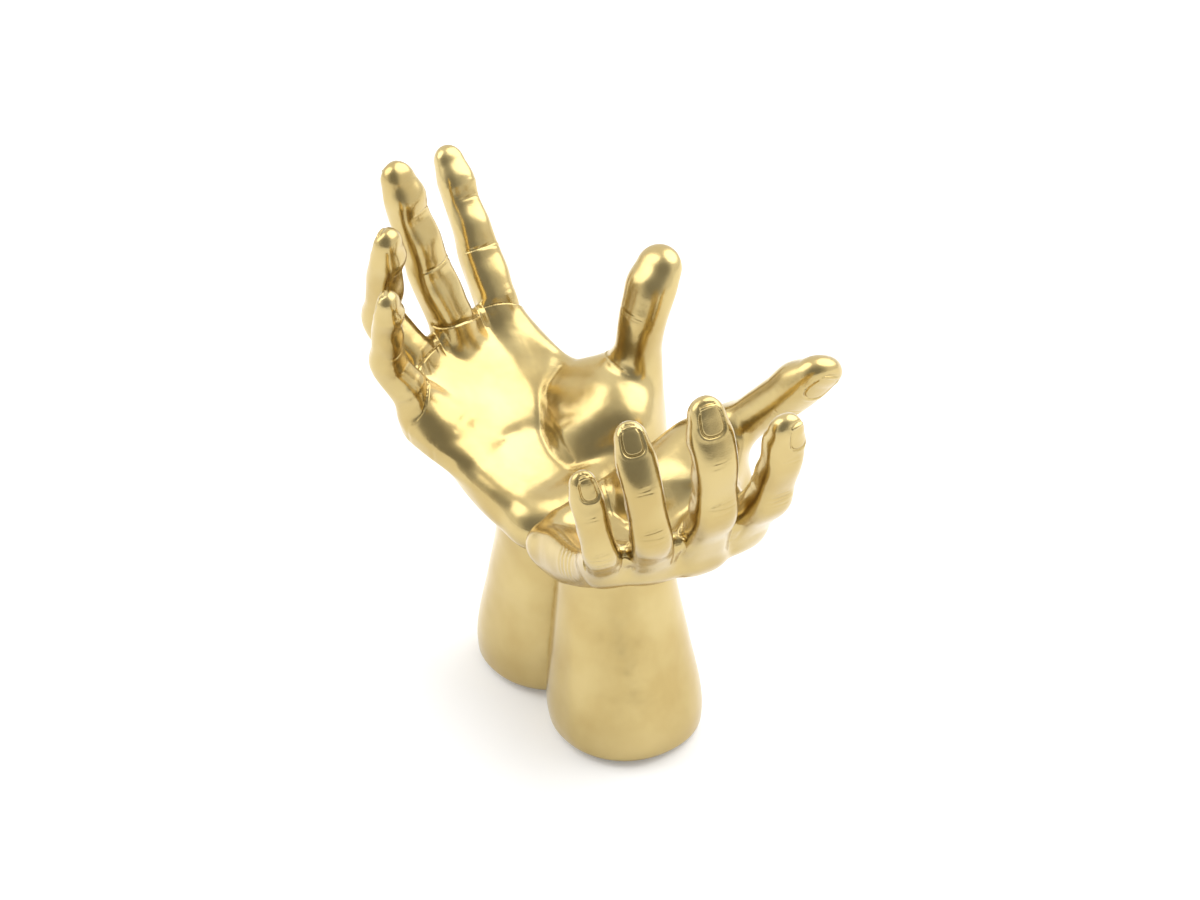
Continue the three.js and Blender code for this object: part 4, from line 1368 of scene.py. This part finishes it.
def two_shades(tree, place, scale, detail, deep, pale):
    """Broad clouds of two shades of one colour."""
    return add_ramp(tree, add_noise(tree, place, scale, detail), [(0.35, deep), (0.65, pale)])


print("finishes before the paint:", len(bpy.data.materials))

# %% The gold paint
GOLD_DEEP = (0.48, 0.357, 0.14)
GOLD_PALE = (0.55, 0.43, 0.19)
GOLD_ROUGHNESS = (0.18, 0.29)
COAT_WEIGHT, COAT_ROUGHNESS = 0.25, 0.22
WAVE_BUMP, GRAIN_BUMP, STREAK_BUMP = (0.3, 0.0012), (0.08, 0.0004), (0.03, 0.0005)


def gold_paint():
    material, tree, shader = new_material("satin_gold_paint")
    place = tree.nodes.new("ShaderNodeTexCoord").outputs["Object"]
    grain = add_noise(tree, place, 1400, 2)
    streaks = add_noise(tree, place, 260, 3, stretch=(1, 1, 0.12))
    colour = two_shades(tree, place, 40, 4, GOLD_DEEP, GOLD_PALE)
    tree.links.new(colour, shader.inputs["Base Color"])
    set_sockets(shader, {"Metallic": 1.0, "Coat Weight": COAT_WEIGHT, "Coat Roughness": COAT_ROUGHNESS})
    tree.links.new(add_range(tree, streaks, *GOLD_ROUGHNESS), shader.inputs["Roughness"])
    waves = add_bump(tree, add_noise(tree, place, 75, 2), *WAVE_BUMP)
    fine = add_bump(tree, grain, *GRAIN_BUMP, under=waves)
    tree.links.new(add_bump(tree, streaks, *STREAK_BUMP, under=fine), shader.inputs["Normal"])
    return material


gold = gold_paint()
print("gold paint has", len(gold.node_tree.nodes), "nodes")

# %% [markdown]
# ## Steel, bare resin and felt
#
# The pins inside are ground steel, with fine rings from the wheel. The plugs under the arms are the
# same resin as the statue, left bare, so they are pale and a little cloudy. Each stands on a pad of
# dark felt, whose fibres lie in all directions. These solids already have the right shape, so they
# stay and only get a finish.

# %% Finishes of the hidden and lower pieces
def finish_from(name, deep, pale, scale, roughness, bump, stretch=(1, 1, 1), sockets=()):
    """A finish with two shades of one colour, uneven roughness and a fine bump."""
    material, tree, shader = new_material(name)
    place = tree.nodes.new("ShaderNodeTexCoord").outputs["Object"]
    fine = add_noise(tree, place, scale, 3, stretch)
    tree.links.new(two_shades(tree, place, scale / 12, 3, deep, pale), shader.inputs["Base Color"])
    tree.links.new(add_range(tree, fine, *roughness), shader.inputs["Roughness"])
    tree.links.new(add_bump(tree, fine, *bump), shader.inputs["Normal"])
    set_sockets(shader, dict(sockets))
    return material


steel = finish_from(
    "ground_steel",
    deep=(0.5, 0.51, 0.53),
    pale=(0.62, 0.63, 0.65),
    scale=900,
    roughness=(0.22, 0.38),
    bump=(0.15, 0.0002),
    stretch=(1, 1, 0.1),
    sockets={"Metallic": 1.0},
)
resin = finish_from(
    "bare_resin",
    deep=(0.62, 0.58, 0.5),
    pale=(0.7, 0.66, 0.59),
    scale=700,
    roughness=(0.42, 0.6),
    bump=(0.1, 0.0003),
    sockets={"Subsurface Weight": 0.1, "Subsurface Scale": 0.002},
)
felt = finish_from(
    "dark_felt",
    deep=(0.018, 0.017, 0.016),
    pale=(0.035, 0.033, 0.031),
    scale=2200,
    roughness=(0.85, 1),
    bump=(0.8, 0.0006),
    sockets={"Sheen Weight": 0.5},
)

for name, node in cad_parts.items():
    for ending, finish in (("pin", steel), ("dowel", steel), ("plug", resin), ("pad", felt)):
        if name.endswith(ending):
            node.data.materials.clear()
            node.data.materials.append(finish)
            print(name, "->", finish.name)

# %% [markdown]
# ## Put the skins on the frame
#
# Each skin takes the place of its solid. The left hand was posed as a right hand, so it is mirrored
# here, and its faces are turned round to keep facing out.

# %% Place the skins
MM = 0.001
STATUE_MIDDLE = np.array([-9.9, 4.6, 0.0])
placed = []


def add_object(name, data):
    item = bpy.data.objects.new(name, data)
    bpy.context.scene.collection.objects.link(item)
    return item


def place_skin(mesh, name, side, node, material):
    points = points_of(mesh) * (-side, 1, 1) - STATUE_MIDDLE
    set_points(mesh, points * MM)
    if side > 0:
        mesh.flip_normals()
    mesh.shade_smooth()
    mesh.materials.append(material)
    piece = add_object(name, mesh)
    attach(piece, "root")
    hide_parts(node)
    placed.append(piece.name)


for label, hand in hands.items():
    side = hand.pose["side"]
    place_skin(skins[label], label + "_hand_skin", side, label + "_hand", gold)
    place_skin(arm_skins[label], label + "_forearm_skin", side, label + "_forearm", gold)
print("pieces placed:", placed)

# %% [markdown]
# ## Studio
#
# The statue is seen from above, against white. Satin gold shows little of its own colour:
# what is seen is mostly the studio mirrored in it. So the walls are white all round and dimmer on
# the camera's side, which gives the surfaces that face the camera their darker gold. Two soft round
# lamps, a large one behind on the right and a small one on the left, give the creamy highlights. The
# paper on the floor has a painted glow, a faint even emission that lightens the shadow round the
# statue. The camera is far away with a long lens.

# %% Camera
CAMERA_TURN = 53.78
CAMERA_LIFT = 36.01
CAMERA_AWAY = 1.8
CAMERA_REACH = 20
SENSOR_WIDTH = 36
IMAGE_WIDTH, IMAGE_HEIGHT = 1200, 900
AIM = Vector((0.0099, -0.0046, 0.1063))
AIM_PIXEL = (589.6, 487.4)
MM_PER_PIXEL = 0.423

turn, lift = math.radians(CAMERA_TURN), math.radians(CAMERA_LIFT)
back = Vector((math.sin(turn) * math.cos(lift), -math.cos(turn) * math.cos(lift), math.sin(lift)))
camera_data = bpy.data.cameras.new("studio_camera")
camera = add_object("studio_camera", camera_data)
camera.location = AIM + back * CAMERA_AWAY
camera.rotation_mode = "QUATERNION"
camera.rotation_quaternion = (-back).to_track_quat("-Z", "Y")
camera_data.sensor_width = SENSOR_WIDTH
camera_data.lens = SENSOR_WIDTH * CAMERA_AWAY / (MM * MM_PER_PIXEL * IMAGE_WIDTH)
camera_data.shift_x = (IMAGE_WIDTH / 2 - AIM_PIXEL[0]) / IMAGE_WIDTH
camera_data.shift_y = (AIM_PIXEL[1] - IMAGE_HEIGHT / 2) / IMAGE_WIDTH
camera_data.clip_end = CAMERA_REACH
bpy.context.scene.camera = camera
shift = [round(v, 4) for v in (camera_data.shift_x, camera_data.shift_y)]
print("lens", round(camera_data.lens), "mm, shift", shift)

# %% Floor
PAPER_SIZE = 12
# The paper's faint emission is a painted glow: it lightens the shadow that the statue casts on the floor.
PAPER_PAINTED_GLOW = 0.16


def pale_floor():
    material, tree, shader = new_material("studio_paper")
    place = tree.nodes.new("ShaderNodeTexCoord").outputs["Object"]
    fibres = add_noise(tree, place, 300, 3)
    painted_glow = {"Emission Color": (1, 1, 1, 1), "Emission Strength": PAPER_PAINTED_GLOW}
    set_sockets(shader, {"Base Color": (0.9, 0.9, 0.9, 1), **painted_glow})
    tree.links.new(add_range(tree, fibres, 0.7, 0.8), shader.inputs["Roughness"])
    return material


bpy.ops.mesh.primitive_plane_add(size=PAPER_SIZE, location=(0, 0, 0))
floor = bpy.context.object
floor.name = "studio_floor"
floor.data.materials.append(pale_floor())
print("paper:", PAPER_SIZE, "m wide")

# %% Walls
WALL_BRIGHT, WALL_DIM = 1.18, 0.36
DIM_SIDE = (0.62, -0.62, 0.48)
DIM_START, DIM_FULL = 0.3, 0.95


def white_walls():
    """White walls all round, and a dimmer side where the photographer stands."""
    world = bpy.data.worlds.new("white_studio")
    world.use_nodes = True
    tree = world.node_tree
    set_sockets(tree.nodes["Background"], {"Color": (1, 1, 1, 1)})
    direction = tree.nodes.new("ShaderNodeTexCoord").outputs["Generated"]
    towards = tree.nodes.new("ShaderNodeVectorMath")
    towards.operation = "DOT_PRODUCT"
    set_sockets(towards, {1: DIM_SIDE})
    tree.links.new(direction, towards.inputs[0])
    spread = tree.nodes.new("ShaderNodeMapRange")
    spread.interpolation_type = "SMOOTHSTEP"
    set_sockets(spread, {"From Min": DIM_START, "From Max": DIM_FULL})
    set_sockets(spread, {"To Min": WALL_BRIGHT, "To Max": WALL_DIM})
    tree.links.new(towards.outputs["Value"], spread.inputs["Value"])
    tree.links.new(spread.outputs["Result"], tree.nodes["Background"].inputs["Strength"])
    return world


bpy.context.scene.world = white_walls()
bpy.context.scene.view_settings.view_transform = "Standard"
print("walls shine at", WALL_BRIGHT, "and on the camera's side at", WALL_DIM)

# %% Lamps
LAMP_AIM = Vector((0, 0, 0.12))


def add_softbox(name, place, width, height, power):
    light = bpy.data.lights.new(name, "AREA")
    light.shape = "ELLIPSE"
    light.size = width
    light.size_y = height
    light.energy = power
    lamp = add_object(name, light)
    lamp.location = place
    lamp.rotation_mode = "QUATERNION"
    lamp.rotation_quaternion = (LAMP_AIM - lamp.location).to_track_quat("-Z", "Y")
    print(name, "is", round((LAMP_AIM - lamp.location).length, 2), "m away")


add_softbox("right_softbox", Vector((0.08, 1.16, 1.52)), 2.2, 2.5, power=28)
add_softbox("left_softbox", Vector((-0.87, -0.81, 1.19)), 1.05, 1.7, power=8.5)
